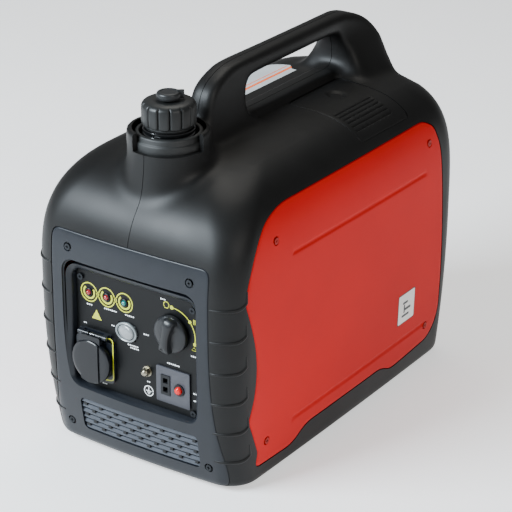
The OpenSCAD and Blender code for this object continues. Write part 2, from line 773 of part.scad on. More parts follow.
module ac_cover() {
    knuckle = 2 * ac_hinge_hw - ac_lug_w - 1;
    face_y = plate_y - 7.2;
    color("#14161b") difference() {
        union() {
            difference() {
                rod_front(ac_x, face_y, ac_z, ac_cover_r, cover_t);
                rod_front(ac_x, face_y + 1, ac_z, ac_cover_r - 2.5, 4);
            }
            intersection() {
                rod_front(ac_x, face_y - 1, ac_z, ac_cover_r - 1, cover_t + 0.6);
                translate([ac_x - 6, face_y - 40, ac_z - 40]) cube([12, 60, 80]);
            }
            translate([ac_x - knuckle / 2, face_y - 4, ac_z + 15]) cube([knuckle, 4, ac_hinge_z - ac_z - 15]);
            translate([ac_x, ac_hinge_y, ac_hinge_z]) rotate([0, 90, 0])
                cylinder(r = 3.2, h = knuckle, center = true);
        }
        translate([ac_x, ac_hinge_y, ac_hinge_z]) rotate([0, 90, 0])
            cylinder(r = ac_pin_r + run_clear, h = 60, center = true);
        translate([ac_x, ac_hinge_y, ac_hinge_z]) cube([spring_w + 1, 9, 9], center = true);
    }
}
spring_w = 9;
spring_wire = 0.5;
module ac_cover_spring() {
    turns = 5;
    color("#b8bcc0") translate([ac_x, ac_hinge_y, ac_hinge_z]) rotate([0, 90, 0])
        for (i = [0:turns - 1]) translate([0, 0, (i - (turns - 1) / 2) * 1.6])
            rotate_extrude() translate([ac_pin_r + 0.9, 0]) circle(spring_wire, $fn = 16);
}
module dc_plate() {
    color("#4a4c58") difference() {
        translate([dc_x, plate_y, dc_z]) rotate([90, 0, 0]) linear_extrude(2.2) rrect(dc_w, dc_h, 1.5);
        translate([dc_socket_x, plate_y, dc_z]) cube([13, 20, 25], center = true);
        rod_front(button_x, plate_y + 5, button_z, button_r + 2.6, 20);
    }
}
module dc_socket() {
    color("#16171a") difference() {
        translate([dc_socket_x, plate_y + 8, dc_z]) cube([12.4, 22, 24.4], center = true);
        for (z = [-5.5, 5.5])
            translate([dc_socket_x, plate_y - 3, dc_z + z]) cube([6.5, 24, 6.5], center = true);
    }
}
module breaker_body() {
    color("#2a2c30") difference() {
        union() {
            rod_front(button_x, plate_y + 24, button_z, button_r + 2.3, 27.4);
            rod_front(button_x, plate_y + 24, button_z, 8, 20);
        }
        rod_front(button_x, plate_y + 12, button_z, button_r + 0.2, 30);
    }
}
module breaker_button() {
    color("#f04545") translate([button_x, plate_y + 8, button_z]) rotate([90, 0, 0]) {
        cylinder(r = button_r, h = 13);
        intersection() {
            translate([0, 0, 8]) sphere(7);
            translate([0, 0, 12.9]) cylinder(r = button_r, h = 3);
        }
    }
}
module ground_terminal() {
    color("#c9ccd0") translate([ground_x, plate_y, ground_z]) rotate([90, 0, 0]) {
        translate([0, 0, -plate_t - 8]) cylinder(r = stud_r, h = plate_t + 15);
        translate([0, 0, -plate_t - 4]) cylinder(r = 5.5, h = 4, $fn = 6);
        cylinder(r = 6.2, h = 1.2);
        translate([0, 0, 1.2]) cylinder(r = 5.2, h = 4, $fn = 6);
        intersection() {
            translate([0, 0, 5]) sphere(4.6);
            translate([0, 0, 5]) cylinder(r = 5, h = 6);
        }
    }
}
knob_face = plate_y - 1.2;
module engine_knob() {
    color("#1b1c1f") translate([knob_x, knob_face, knob_z]) rotate([90, knob_rest, 0]) difference() {
        union() {
            cylinder(r = knob_r, h = 5);
            translate([0, 0, 5 - eps]) cylinder(r1 = knob_r - 1, r2 = knob_r - 5, h = 2.5);
            intersection() {
                translate([-7, -knob_r, 4]) cube([14, 2 * knob_r, 12.5]);
                cylinder(r = knob_r - 0.5, h = 20);
            }
        }
        translate([0, -knob_r + 5, 15.5]) cylinder(r = 2, h = 4);
        translate([0, 0, -1]) cylinder(r = knob_shaft_r, h = 9);
    }
}
module knob_shaft() {
    color("#9a9da0") translate([knob_x, plate_y + 26, knob_z]) rotate([90, 0, 0])
        cylinder(r = knob_shaft_r, h = 26 + 8);
}
module fuel_valve() {
    color("#b9bbbd") difference() {
        union() {
            translate([knob_x, plate_y + plate_t + 13, knob_z]) cube([32, 22, 30], center = true);
            translate([knob_x - 24, plate_y + 15, knob_z - 8]) rotate([0, 90, 0]) cylinder(r = 3, h = 10);
            translate([knob_x + 6, plate_y + 15, knob_z + 14]) cylinder(r = 3, h = 10);
        }
        rod_front(knob_x, plate_y + 40, knob_z, knob_shaft_r + run_clear, 60);
    }
}

// ---------- fuel ----------

tank_wall = 2.5;
tank_hw = 90;
tank_z0 = 240;
tank_z1 = case_top - 32;
tank_y0 = -filler_y - neck_r - 6;
tank_y1 = cylinder_y - 45;
module tank_block(d) {
    translate([0, (tank_y0 + tank_y1) / 2, tank_z0 + d])
        linear_extrude(tank_z1 - tank_z0 - 2 * d)
            rrect(2 * (tank_hw - d), tank_y1 - tank_y0 - 2 * d, 36 - d);
}
module fuel_tank() {
    color("#26272a") difference() {
        tank_block(0);
        tank_block(tank_wall);
        translate([0, -filler_y, tank_z1 - 10]) cylinder(r = neck_bore_r, h = 20);
    }
}
neck_bore_r = neck_r - 5.5;
module filler_neck() {
    color("#101113") translate(filler) difference() {
        union() {
            translate([0, 0, tank_z1]) cylinder(r = neck_r + 4, h = 3);
            translate([0, 0, tank_z1]) cylinder(r = neck_r, h = neck_z - tank_z1);
            translate([0, 0, neck_z - 5]) cylinder(r = neck_r + 1.5, h = 5);
        }
        translate([0, 0, tank_z1 - 1]) cylinder(r = neck_bore_r, h = 100);
    }
}
module neck_collar() {
    rim = neck_r + 5;
    color("#1a1b1c") translate([0, -filler_y, well_z]) rotate_extrude() polygon([
        [rim, 0], [collar_r, 0], [collar_r, 13], [collar_r - 2.5, 15],
        [collar_r - 2.5, 25], [collar_r - 4, 27], [rim, 27]]);
}
seal_t = 2;
cap_inner = cap_r - 4;
module cap_seal() {
    color("#171717") translate([0, -filler_y, neck_z]) rotate_extrude()
        translate([neck_bore_r + 0.5, 0]) square([cap_inner - neck_bore_r - 1, seal_t]);
}
post_r = 8;
module cap_insert() {
    z = neck_z + seal_t;
    color("#4b4d4f") translate([0, -filler_y, z]) {
        cylinder(r = cap_inner - 0.5, h = 4);
        translate([0, 0, -13]) cylinder(r = neck_bore_r - 0.4, h = 14);
        cylinder(r = post_r, h = cap_h - 12);
    }
}
module fuel_cap() {
    color("#242526") translate([0, -filler_y, cap_z]) difference() {
        union() {
            cylinder(r = cap_r - 2, h = cap_h - 3);
            translate([0, 0, cap_h - 3 - eps]) cylinder(r1 = cap_r - 2, r2 = cap_r - 6, h = 3);
            for (i = [0:flutes - 1]) rotate([0, 0, 360 / flutes * i])
                translate([cap_r - 4.5, 0, 0]) cylinder(r = 4.5, h = cap_h - 5);
        }
        difference() {
            translate([0, 0, -1]) cylinder(r = cap_inner, h = cap_h - 4);
            translate([0, 0, 9]) cylinder(r = post_r + 3.5, h = cap_h);
        }
        translate([0, 0, -1]) cylinder(r = post_r + run_clear, h = cap_h - 5);
        translate([0, 0, -1]) cylinder(r = vent_stem_r + run_clear, h = cap_h + 5);
    }
}
vent_stem_r = 5;
module vent_knob() {
    color("#2a2b2c") translate([0, -filler_y, cap_z + cap_h]) {
        translate([0, 0, 0.3]) cylinder(r = vent_r, h = 6.5);
        translate([0, 0, 6.7]) cylinder(r1 = vent_r, r2 = vent_r - 1.5, h = 1.5);
        translate([0, 0, -4]) cylinder(r = vent_stem_r, h = 5);
        rotate([0, 0, 40]) translate([vent_r - 3, -1.75, 0.6]) cube([6, 3.5, 8.6]);
    }
}

// ---------- recoil starter ----------

face_y = cylinder_y - 62;
reel_y = face_y - 106;
rope_y = reel_y;
groove_r = reel_r - 8;
rope_z = crank_z + groove_r + rope_r;
housing_r = 74;
module at_crank(y) { translate([crank_x, y, crank_z]) rotate([90, 0, 0]) children(); }
module recoil_housing() {
    front = face_y - 130;
    back = face_y - 80;
    color("#c7c9cb") difference() {
        union() {
            difference() {
                at_crank(back) cylinder(r = housing_r, h = back - front);
                at_crank(back + 1) cylinder(r = housing_r - 2.5, h = back - front - 2.5);
            }
            at_crank(reel_y + 10) cylinder(r = spindle_r, h = reel_y + 10 - front);
            for (a = [45:90:315]) at_crank(back) rotate([0, 0, a])
                translate([housing_r + 3, 0, 0]) cylinder(r = 6, h = 4);
        }
        for (a = [0:30:330]) at_crank(front + 5) rotate([0, 0, a])
            translate([58, 0, 0]) cylinder(r = 6, h = 12);
        for (a = [45:90:315]) at_crank(back + 1) rotate([0, 0, a])
            translate([housing_r + 5, 0, 0]) cylinder(r = 2.2, h = 8);
        translate([crank_x - housing_r - 1, rope_y, rope_z]) rotate([0, 90, 0])
            cylinder(r = rope_r + 2, h = housing_r - 10);
    }
}
module recoil_reel() {
    color("#d9dadb") at_crank(reel_y) difference() {
        union() {
            translate([0, 0, -5]) cylinder(r = reel_r, h = 2);
            translate([0, 0, 3]) cylinder(r = reel_r, h = 2);
            translate([0, 0, -5]) cylinder(r = groove_r - 4.5, h = 10);
            translate([0, 0, -9]) cylinder(r = 18, h = 5);
        }
        translate([0, 0, -20]) cylinder(r = spindle_r + run_clear, h = 40);
    }
}
module rope_winding() {
    color("#e6e4dc") at_crank(reel_y) rotate_extrude()
        translate([groove_r - 4.3, -2.9]) square([4.1, 5.8]);
}
module recoil_spring() {
    turns = 5;
    steps = 20 * turns;
    pitch = 2.6;
    r0 = spindle_r + 2;
    arm = function (i, t) let (a = 360 * turns * i / steps, r = r0 + pitch * turns * i / steps + t)
        [r * cos(a), r * sin(a)];
    color("#8c9093") at_crank(reel_y - 6) linear_extrude(5) polygon(concat(
        [for (i = [0:steps]) arm(i, 0)], [for (i = [steps:-1:0]) arm(i, 0.8)]));
}
module starter_rope() {
    x0 = -body_w / 2 + pocket_depth - 2;
    color("#e6e4dc") rod_side(x0, rope_y, rope_z, rope_r, crank_x - x0, 1);
}
module starter_grip() {
    x0 = -body_w / 2 + 2.5;
    color("#1d1e20") difference() {
        union() {
            translate([x0, rope_y, rope_z]) rotate([90, 0, 90]) linear_extrude(9)
                rrect(grip_w, grip_h * 0.75, 7);
            translate([x0 + 8, rope_y, rope_z]) rotate([0, 90, 0])
                cylinder(r1 = 8, r2 = 6, h = pocket_depth - 11);
        }
        translate([x0 + 8, rope_y, rope_z]) rotate([0, 90, 0]) cylinder(r = rope_r, h = 60);
        translate([x0 - 1, rope_y, rope_z]) rotate([0, 90, 0]) cylinder(r = 4, h = 4);
    }
}
module starter_cup() {
    color("#8c9093") at_crank(face_y - 73) difference() {
        cylinder(r = 30, h = 17);
        translate([0, 0, 3]) cylinder(r = 26, h = 20);
        translate([0, 0, -1]) cylinder(r = 10, h = 20);
        for (a = [0:60:300]) rotate([0, 0, a]) translate([0, -4, 9]) cube([40, 8, 5]);
    }
}

// ---------- alternator and fan ----------

module cooling_fan() {
    color("#3a3c3f") at_crank(face_y - 56) difference() {
        union() {
            cylinder(r = 66, h = 2.5);
            cylinder(r = 24, h = 14);
            for (i = [0:blades - 1]) rotate([0, 0, 360 / blades * i])
                translate([26, 0, 0]) rotate([0, 0, 22]) cube([38, 2, 15]);
        }
        translate([0, 0, -1]) cylinder(r = journal_r - 2.5, h = 30);
    }
}
module flywheel_rotor() {
    color("#6d7073") at_crank(face_y - 8) difference() {
        cylinder(r = rotor_r, h = 46);
        translate([0, 0, -1]) cylinder(r = rotor_r - 8, h = 42);
        translate([0, 0, -1]) cylinder(r = journal_r - 2.5, h = 60);
    }
}
module stator() {
    r = rotor_r - 8.8;
    color("#a5602f") at_crank(face_y) difference() {
        union() {
            translate([0, 0, 14]) difference() {
                cylinder(r = r, h = 30);
                for (a = [0:20:340]) rotate([0, 0, a]) translate([31, -2.5, -1]) cube([r - 34, 5, 40]);
                for (a = [0:20:340]) rotate([0, 0, a]) translate([40, -1, -1]) cube([40, 2, 40]);
            }
            cylinder(r = 27, h = 15);
        }
        translate([0, 0, -1]) cylinder(r = 22, h = 60);
    }
}
module fan_shroud() {
    r = max(rotor_r, 66) + 5;
    color("#2a2c2f") at_crank(face_y - 4) difference() {
        union() {
            cylinder(r = r + 2.5, h = 76);
            translate([-r - 5, -r, 0]) cube([2 * r + 10, 20, 6]);
        }
        translate([0, 0, -1]) cylinder(r = r, h = 90);
    }
}

// ---------- engine ----------

case_hw = 50;
case_z0 = 50;
case_z1 = crank_z + 41;
web_r = 34;
bolt_r = 4;
mount_at = [for (x = [-1, 1], y = [-1, 1]) [crank_x + x * 64, cylinder_y + y * 42]];
function along(s) = [crank_x + sin(cylinder_lean) * s, cylinder_y, crank_z + cos(cylinder_lean) * s];
module on_cylinder(s) { translate(along(s)) rotate([0, cylinder_lean, 0]) children(); }
barrel_s0 = 62;
head_s0 = 122;
cover_s0 = 148;
cover_s1 = 166;
module crankcase() {
    depth = 122;
    color("#a9adb0") difference() {
        union() {
            translate([crank_x - case_hw, face_y, case_z0 - 2])
                cube([2 * case_hw, depth, case_z1 - case_z0 + 2]);
            translate([crank_x - 76, face_y + 8, case_z0 - 8]) cube([152, depth - 16, 8]);
            on_cylinder(0) translate([-34, -34, 20]) cube([68, 68, barrel_s0 - 20]);
        }
        at_crank(face_y + depth - 10) cylinder(r = web_r + 4, h = depth - 20);
        at_crank(face_y + depth + 1) cylinder(r = journal_r + run_clear, h = depth + 2);
        on_cylinder(0) cylinder(r = 26, h = 80);
        for (p = mount_at) translate([p[0], p[1], 30]) cylinder(r = bolt_r + 0.3, h = 30);
    }
}
module crankshaft() {
    throw = 20;
    color("#b4b7b9") {
        difference() {
            union() {
                at_crank(cylinder_y - 14) cylinder(r = journal_r, h = 60);
                at_crank(cylinder_y + 62) cylinder(r = journal_r, h = 48);
                at_crank(cylinder_y - 10) cylinder(r = web_r, h = 10);
                at_crank(cylinder_y + 20) cylinder(r = web_r, h = 10);
                at_crank(cylinder_y + 12) translate([0, -throw, 0]) cylinder(r = 11, h = 24);
                at_crank(cylinder_y - 72) cylinder(r = journal_r - 2.5, h = 26);
                at_crank(cylinder_y - 60) cylinder(r1 = journal_r, r2 = journal_r - 2.5, h = 13);
            }
            at_crank(cylinder_y - 9) translate([-40, 16, -1]) cube([80, 40, 12]);
            at_crank(cylinder_y + 21) translate([-40, 16, -1]) cube([80, 40, 12]);
        }
        at_crank(cylinder_y - 96) cylinder(r = journal_r - 2.5, h = 52);
        at_crank(cylinder_y - 70) cylinder(r = journal_r - 2.5, h = 30);
    }
}
module cylinder_barrel() {
    color("#b3b6b8") on_cylinder(barrel_s0) difference() {
        union() {
            cylinder(r = 30, h = head_s0 - barrel_s0);
            for (i = [0:5]) translate([-37, -36, 12 + 8 * i]) cube([74, 72, 2.5]);
        }
        translate([0, 0, -1]) cylinder(r = 24, h = 100);
    }
}
module cylinder_head() {
    color("#a9adb0") difference() {
        on_cylinder(head_s0) union() {
            translate([-34, -34, 0]) cube([68, 68, cover_s0 - head_s0]);
            for (i = [0:2]) translate([-39, -37, 3 + 8 * i]) cube([78, 74, 2.5]);
        }
        on_cylinder(head_s0) translate([0, 0, -1]) cylinder(r = 24, h = 9);
        on_cylinder(head_s0) translate([0, plug_dy, -1]) cylinder(r = plug_r + 0.2, h = 40);
    }
}
module valve_cover() {
    color("#2d2f31") on_cylinder(cover_s0) difference() {
        union() {
            translate([0, -8, 0]) linear_extrude(4) rrect(64, 50, 8);
            translate([0, -8, 0]) linear_extrude(cover_s1 - cover_s0) rrect(54, 40, 8);
        }
        translate([0, -8, -1]) linear_extrude(cover_s1 - cover_s0 - 2) rrect(48, 34, 6);
    }
}
plug_dy = 25;
plug_r = 5;
plug_cap_s = 182;
module spark_plug() {
    color("#e8e6e0") on_cylinder(head_s0 + 6) translate([0, plug_dy, 0]) {
        cylinder(r = plug_r, h = cover_s0 - head_s0 - 5);
        translate([0, 0, cover_s0 - head_s0 - 6]) cylinder(r = 8.2, h = 9, $fn = 6);
        translate([0, 0, cover_s0 - head_s0 + 3 - eps]) cylinder(r = 4.5, h = 26);
        translate([0, 0, cover_s0 - head_s0 + 29 - 2 * eps]) cylinder(r = 2.5, h = 9);
    }
}
module plug_cap() {
    color("#17181a") on_cylinder(plug_cap_s - 8) translate([0, plug_dy, 0]) difference() {
        union() {
            cylinder(r = 9, h = 36);
            translate([-26, 0, 30]) rotate([0, 90, 0]) cylinder(r = 5, h = 26);
        }
        translate([0, 0, -1]) cylinder(r = 5, h = 22);
    }
}
carb_s = 136;
carb_bore = 9;
throttle_pin_r = 2;
module carburettor() {
    color("#b9bbbd") on_cylinder(carb_s) translate([-39.2, 0, 0]) rotate([0, -90, 0]) difference() {
        union() {
            cylinder(r = 15, h = 46);
            translate([-16, -16, 0]) cube([32, 32, 5]);
            translate([-16, -16, 41]) cube([32, 32, 5]);
            translate([-12, 0, 23]) rotate([0, -90, 0]) cylinder(r = 15, h = 16);
            translate([0, 20, 23]) rotate([90, 0, 0]) cylinder(r = 5, h = 40);
        }
        translate([0, 0, -1]) cylinder(r = carb_bore, h = 60);
        translate([0, 30, 23]) rotate([90, 0, 0]) cylinder(r = throttle_pin_r + run_clear, h = 60);
    }
}
module throttle_valve() {
    color("#c4a45a") on_cylinder(carb_s) translate([-39.2, 0, 0]) rotate([0, -90, 0])
        translate([0, 0, 23]) {
            translate([0, 26, 0]) rotate([90, 0, 0]) cylinder(r = throttle_pin_r, h = 52);
            translate([0, 0, -0.6]) cylinder(r = carb_bore - 0.3, h = 1.2);
            translate([-3, 22, -3]) cube([14, 3, 6]);
        }
}
box_x0 = 118;
module air_filter_box() {
    z1 = along(carb_s)[2] + (39.2 + 46) * sin(cylinder_lean);
    color("#26272a") difference() {
        intersection() {
            form(wall + 6, 4, 3, 10.5);
            union() {
                translate([-box_x0, cylinder_y - 32, z1 - 78]) cube([box_x0 - 24, 96, 112]);
                on_cylinder(carb_s) translate([-39.2 - 46.3, 0, 0]) rotate([0, -90, 0])
                    translate([-16, -16, 0]) cube([32, 32, 34]);
            }
        }
        translate([-box_x0 + 3, cylinder_y - 29, z1 - 75]) cube([box_x0 - 30, 90, 100]);
        on_cylinder(carb_s) translate([-39.2 - 46, 0, 0]) rotate([0, -90, 0])
            translate([0, 0, -1]) cylinder(r = carb_bore, h = 40);
    }
}
muffler_y0 = cylinder_y + 68;
muffler_y1 = half_l - 34;
module muffler() {
    zc = outlet_z - 42;
    color("#7b7d80") difference() {
        union() {
            translate([20, muffler_y1, zc]) rotate([90, 0, 0])
                linear_extrude(muffler_y1 - muffler_y0) rrect(120, 118, 26);
            rod_rear(outlet_x, muffler_y1 - 1, outlet_z, outlet_r, half_l - 6 - muffler_y1);
        }
        translate([20, muffler_y1 - 2, zc]) rotate([90, 0, 0])
            linear_extrude(muffler_y1 - muffler_y0 - 4) rrect(116, 114, 24);
        rod_rear(outlet_x, muffler_y1 - 10, outlet_z, outlet_r - 2, 80);
    }
}
inv_y0 = -half_l + 38;
inv_y1 = reel_y - 27;
inv_z1 = 90;
module inverter_module() {
    color("#8f9396") {
        translate([-96, inv_y0, base_z + tray_t]) cube([192, inv_y1 - inv_y0, inv_z1 - 30]);
        for (i = [0:15]) translate([-94 + 12.4 * i, inv_y0 + 2, base_z + tray_t + inv_z1 - 30 - eps])
            cube([2.4, inv_y1 - inv_y0 - 4, 18]);
    }
}
module engine_mounts() {
    color("#1b1b1b") for (p = mount_at) translate([p[0], p[1], base_z + tray_t]) {
        cylinder(r = 13, h = case_z0 - 8 - base_z - tray_t);
        translate([0, 0, -tray_t]) cylinder(r = bolt_r, h = tray_t + eps);
        translate([0, 0, case_z0 - 8 - base_z - tray_t - eps]) cylinder(r = bolt_r, h = 14);
        translate([0, 0, case_z0 - base_z - tray_t]) cylinder(r = 7, h = 5, $fn = 6);
    }
}

case_left();
case_right();
front_fascia();
rear_cover();
side_panel_left();
side_panel_right();
base_tray();
rubber_feet();
spark_plug_cover();
fascia_screws();
control_plate_screws();
side_panel_screws();
rear_cover_screws();
control_plate();
led_lamps();
rocker_frame();
rocker();
ac_socket_body();
ac_cover();
ac_hinge_pin();
ac_cover_spring();
dc_plate();
dc_socket();
breaker_body();
breaker_button();
ground_terminal();
engine_knob();
knob_shaft();
fuel_valve();
fuel_tank();
filler_neck();
neck_collar();
cap_insert();
cap_seal();
fuel_cap();
vent_knob();
recoil_housing();
recoil_reel();
rope_winding();
recoil_spring();
starter_cup();
starter_rope();
starter_grip();
cooling_fan();
flywheel_rotor();
stator();
fan_shroud();
crankcase();
crankshaft();
cylinder_barrel();
cylinder_head();
valve_cover();
spark_plug();
plug_cap();
carburettor();
throttle_valve();
air_filter_box();
muffler();
inverter_module();
engine_mounts();
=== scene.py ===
import math
import bmesh
import bpy
import numpy as np
from mathutils import Matrix, Vector
from mathutils.geometry import delaunay_2d_cdt


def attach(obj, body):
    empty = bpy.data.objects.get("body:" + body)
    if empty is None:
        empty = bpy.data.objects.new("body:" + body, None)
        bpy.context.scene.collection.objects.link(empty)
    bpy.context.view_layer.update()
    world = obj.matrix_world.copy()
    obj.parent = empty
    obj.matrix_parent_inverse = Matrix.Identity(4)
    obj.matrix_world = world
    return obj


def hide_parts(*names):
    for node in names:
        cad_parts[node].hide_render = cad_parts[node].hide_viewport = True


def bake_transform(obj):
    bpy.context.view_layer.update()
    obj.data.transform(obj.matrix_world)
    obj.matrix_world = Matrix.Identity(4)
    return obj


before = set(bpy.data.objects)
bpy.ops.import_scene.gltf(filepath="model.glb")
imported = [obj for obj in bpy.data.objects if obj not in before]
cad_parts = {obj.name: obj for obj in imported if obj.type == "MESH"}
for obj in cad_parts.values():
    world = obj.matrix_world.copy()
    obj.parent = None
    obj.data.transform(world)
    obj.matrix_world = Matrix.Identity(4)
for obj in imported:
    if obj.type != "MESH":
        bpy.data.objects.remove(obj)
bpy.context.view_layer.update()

# ---------------------------------------------------------------- sizes, in mm
W, L, TOP, OVERALL = 285.0, 499.0, 364.0, 440.0
HL = L / 2
WALL, GAP = 3.2, 0.6
BASE_Z, BASE_R = 4.0, 7.0
SHOULDER, BELLY = 220.0, 190.0
FRONT_RUN, REAR_RUN = 190.0, 75.0
FRONT_DRAFT, SIDE_DRAFT = 21.0, 5.5
END_CROWN, SIDE_CROWN = 6.0, 2.0
CORNER_R, TOP_CORNER_R = 32.0, 45.0
SIDE_N, FRONT_N, REAR_N = 3.7, 3.0, 5.5
PLATE_Y = -231.0
FILLER = (0.0, -166.0)
BOSS_R, BOSS_FOOT_R = 47.0, 57.0
WELL_Z, WELL_R = 372.0, 41.1
NECK_Z = 397.0
STARTER = (-118.0, 162.0)
EXHAUST = (40.0, 190.0)
SCREW_HOLE = 2.25
MM = 0.001
scene = bpy.context.scene


# ---------------------------------------------------------------- outer form
def fall(u, n):
    return np.power(np.maximum(0.0, 1.0 - np.power(np.maximum(u, 0.0), n)), 1.0 / n)


def levels(z, d):
    """Half width, front, rear and corner radius of the form at a height, drawn in by d."""
    z = np.asarray(z, float)
    up = z > SHOULDER
    rise = (z - SHOULDER) / (TOP - d - SHOULDER)
    low = np.maximum(z, BASE_Z)
    toe = np.where(z >= BASE_Z + BASE_R, 0.0,
                   BASE_R - np.sqrt(np.maximum(0.0, BASE_R ** 2 - (BASE_Z + BASE_R - low) ** 2)))
    sag = np.maximum(0.0, (BELLY - z) / BELLY) ** 2
    hw = np.where(up, (W / 2 - d) * fall(rise, SIDE_N), W / 2 - d - SIDE_DRAFT * sag - toe)
    f = np.where(up, FRONT_RUN - HL - (FRONT_RUN - d) * fall(rise, FRONT_N),
                 d - HL + FRONT_DRAFT * sag + toe)
    b = np.where(up, HL - REAR_RUN + (REAR_RUN - d) * fall(rise, REAR_N),
                 HL - d - FRONT_DRAFT / 2 * sag - toe)
    grow = np.maximum(0.0, (z - SHOULDER) / (TOP - SHOULDER)) ** 2
    r = np.minimum(CORNER_R + (TOP_CORNER_R - CORNER_R) * grow - d, hw - 1)
    return hw, f, b, r


def plan(x, y, z, d=0.0):
    """Below zero inside the form."""
    hw, f, b, r = levels(z, d)
    hw = np.maximum(hw, 1.5)
    r = np.maximum(r, 0.5)
    m, hl = (f + b) / 2, (b - f) / 2
    x0, y0 = x, y
    for _ in range(4):
        v = np.clip((y0 - m) / hl, -1.3, 1.3)
        u = np.clip(x0 / hw, -1.3, 1.3)
        x0 = x + SIDE_CROWN * u * v * v
        y0 = y + END_CROWN * u * u * v
    qx = np.abs(x0) - (hw - r)
    qy = np.abs(y0 - m) - (hl - r)
    return np.hypot(np.maximum(qx, 0), np.maximum(qy, 0)) + np.minimum(np.maximum(qx, qy), 0) - r


def cast(way, a, b, d=0.0):
    """Where the form's surface lies along x, y or z above the place (a, b) of the other two."""
    a, b = np.asarray(a, float), np.asarray(b, float)
    d = np.broadcast_to(np.asarray(d, float), a.shape)
    lo = np.full(a.shape, 120.0 if way == "z" else 0.0)
    hi = TOP - d if way == "z" else np.full(a.shape, 320.0)
    for _ in range(24):
        mid = (lo + hi) / 2
        if way == "x":
            f = plan(mid, a, b, d)
        elif way == "-y":
            f = plan(a, -mid, b, d)
        elif way == "y":
            f = plan(a, mid, b, d)
        else:
            f = plan(a, b, mid, d)
        lo, hi = np.where(f < 0, mid, lo), np.where(f < 0, hi, mid)
    return lo


def on_side(s):
    return lambda p, h: np.stack([s * cast("x", p[:, 0], p[:, 1], h), p[:, 0], p[:, 1]], 1)


def on_front(p, h):
    return np.stack([p[:, 0], -cast("-y", p[:, 0], p[:, 1], h), p[:, 1]], 1)


def on_rear(p, h):
    return np.stack([p[:, 0], cast("y", p[:, 0], p[:, 1], h), p[:, 1]], 1)


def on_top(p, h):
    return np.stack([p[:, 0], p[:, 1], cast("z", p[:, 0], p[:, 1], h)], 1)


def level(z, d, nc=12, ns=16):
    hw, f, b, r = (float(v) for v in levels(z, d))
    pts = []
    for cx, cy, a0 in ((hw - r, f + r, -90), (hw - r, b - r, 0), (r - hw, b - r, 90), (r - hw, f + r, 180)):
        turns = [math.radians(a0 + 90 * i / nc) for i in range(nc + 1)]
        pts.append([(cx + r * math.cos(a), cy + r * math.sin(a)) for a in turns])
    ring = []
    for i in range(4):
        p, q = pts[i][-1], pts[(i + 1) % 4][0]
        ring += pts[i]
        ring += [(p[0] + (q[0] - p[0]) * k / ns, p[1] + (q[1] - p[1]) * k / ns) for k in range(1, ns)]
    m, out = (f + b) / 2, []
    for x, y in ring:
        v = (y - m) / (b - m)
        out.append((x - SIDE_CROWN * x / hw * v * v, y - END_CROWN * (x / hw) ** 2 * v, z))
    return out


def form(d, below=False):
    zs = [BASE_Z + BASE_R * (1 - math.cos(math.radians(a))) for a in range(0, 90, 15)]
    zs += [BASE_Z + BASE_R + (SHOULDER - BASE_Z - BASE_R) * i / 14 for i in range(15)]
    zs += [SHOULDER + (TOP - d - SHOULDER) * math.sin(math.radians(a)) for a in np.linspace(2.5, 89, 40)]
    rings = [level(z, d) for z in zs]
    if below:
        rings.insert(0, [(x, y, BASE_Z - 2) for x, y, z in level(BASE_Z, d)])
    return loft(rings)


# ---------------------------------------------------------------- meshes
def loft(rings, closed=False):
    """(points, faces) through rings of equal length."""
    n, k = len(rings[0]), len(rings)
    pts = [p for r in rings for p in r]
    faces = []
    for j in range(k if closed else k - 1):
        a, b = j * n, ((j + 1) % k) * n
        faces += [(a + i, a + (i + 1) % n, b + (i + 1) % n, b + i) for i in range(n)]
    if not closed:
        faces += [tuple(range(n - 1, -1, -1)), tuple((k - 1) * n + i for i in range(n))]
    return pts, faces


def make(name, geo, mat=None, angle=32, body=None, nodes=()):
    """An object from points in mm and faces, with its normals turned outwards."""
    pts, faces = geo
    me = bpy.data.meshes.new(name)
    me.from_pydata([tuple(float(c) * MM for c in p) for p in pts], [], faces)
    bm = bmesh.new()
    bm.from_mesh(me)
    bmesh.ops.remove_doubles(bm, verts=bm.verts, dist=1e-7)
    bmesh.ops.recalc_face_normals(bm, faces=bm.faces)
    bm.to_mesh(me)
    bm.free()
    ob = bpy.data.objects.new(name, me)
    scene.collection.objects.link(ob)
    return dress(ob, mat, angle, body, nodes)


def dress(ob, mat=None, angle=32, body=None, nodes=()):
    ob.data.shade_smooth()
    ob.data.set_sharp_from_angle(angle=math.radians(angle))
    if mat:
        ob.data.materials.clear()
        ob.data.materials.append(mat)
    if nodes:
        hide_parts(*nodes)
    if body:
        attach(ob, body)
    return ob


def merge(*geos):
    pts, faces = [], []
    for p, f in geos:
        n = len(pts)
        pts += list(p)
        faces += [tuple(i + n for i in q) for q in f]
    return pts, faces


def evaluate(ob):
    """Applies an object's modifiers."""
    dg = bpy.context.evaluated_depsgraph_get()
    me = bpy.data.meshes.new_from_object(ob.evaluated_get(dg))
    ob.modifiers.clear()
    old = ob.data
    ob.data = me
    me.name = ob.name
    bpy.data.meshes.remove(old)
    return ob


def drop(*obs):
    for o in obs:
        me = o.data
        bpy.data.objects.remove(o)
        bpy.data.meshes.remove(me)


def carve(ob, cutter, how="DIFFERENCE", keep=False):
    m = ob.modifiers.new("carve", "BOOLEAN")
    m.operation = how
    m.solver = "MANIFOLD"
    m.object = cutter
    evaluate(ob)
    if not keep:
        drop(cutter)
    return ob


def cut_with(ob, geo, how="DIFFERENCE"):
    """Cuts, joins or trims an object with a shape that is used once."""
    return carve(ob, make("cutter", geo), how)


def copy(ob, name):
    c = bpy.data.objects.new(name, ob.data.copy())
    scene.collection.objects.link(c)
    return c


def round_edges(ob, width, segments=2, angle=30):
    """Rounds an object's sharp edges by a width in mm."""
    m = ob.modifiers.new("soft", "BEVEL")
    m.width = width * MM
    m.segments = segments
    m.limit_method = "ANGLE"
    m.angle_limit = math.radians(angle)
    evaluate(ob)


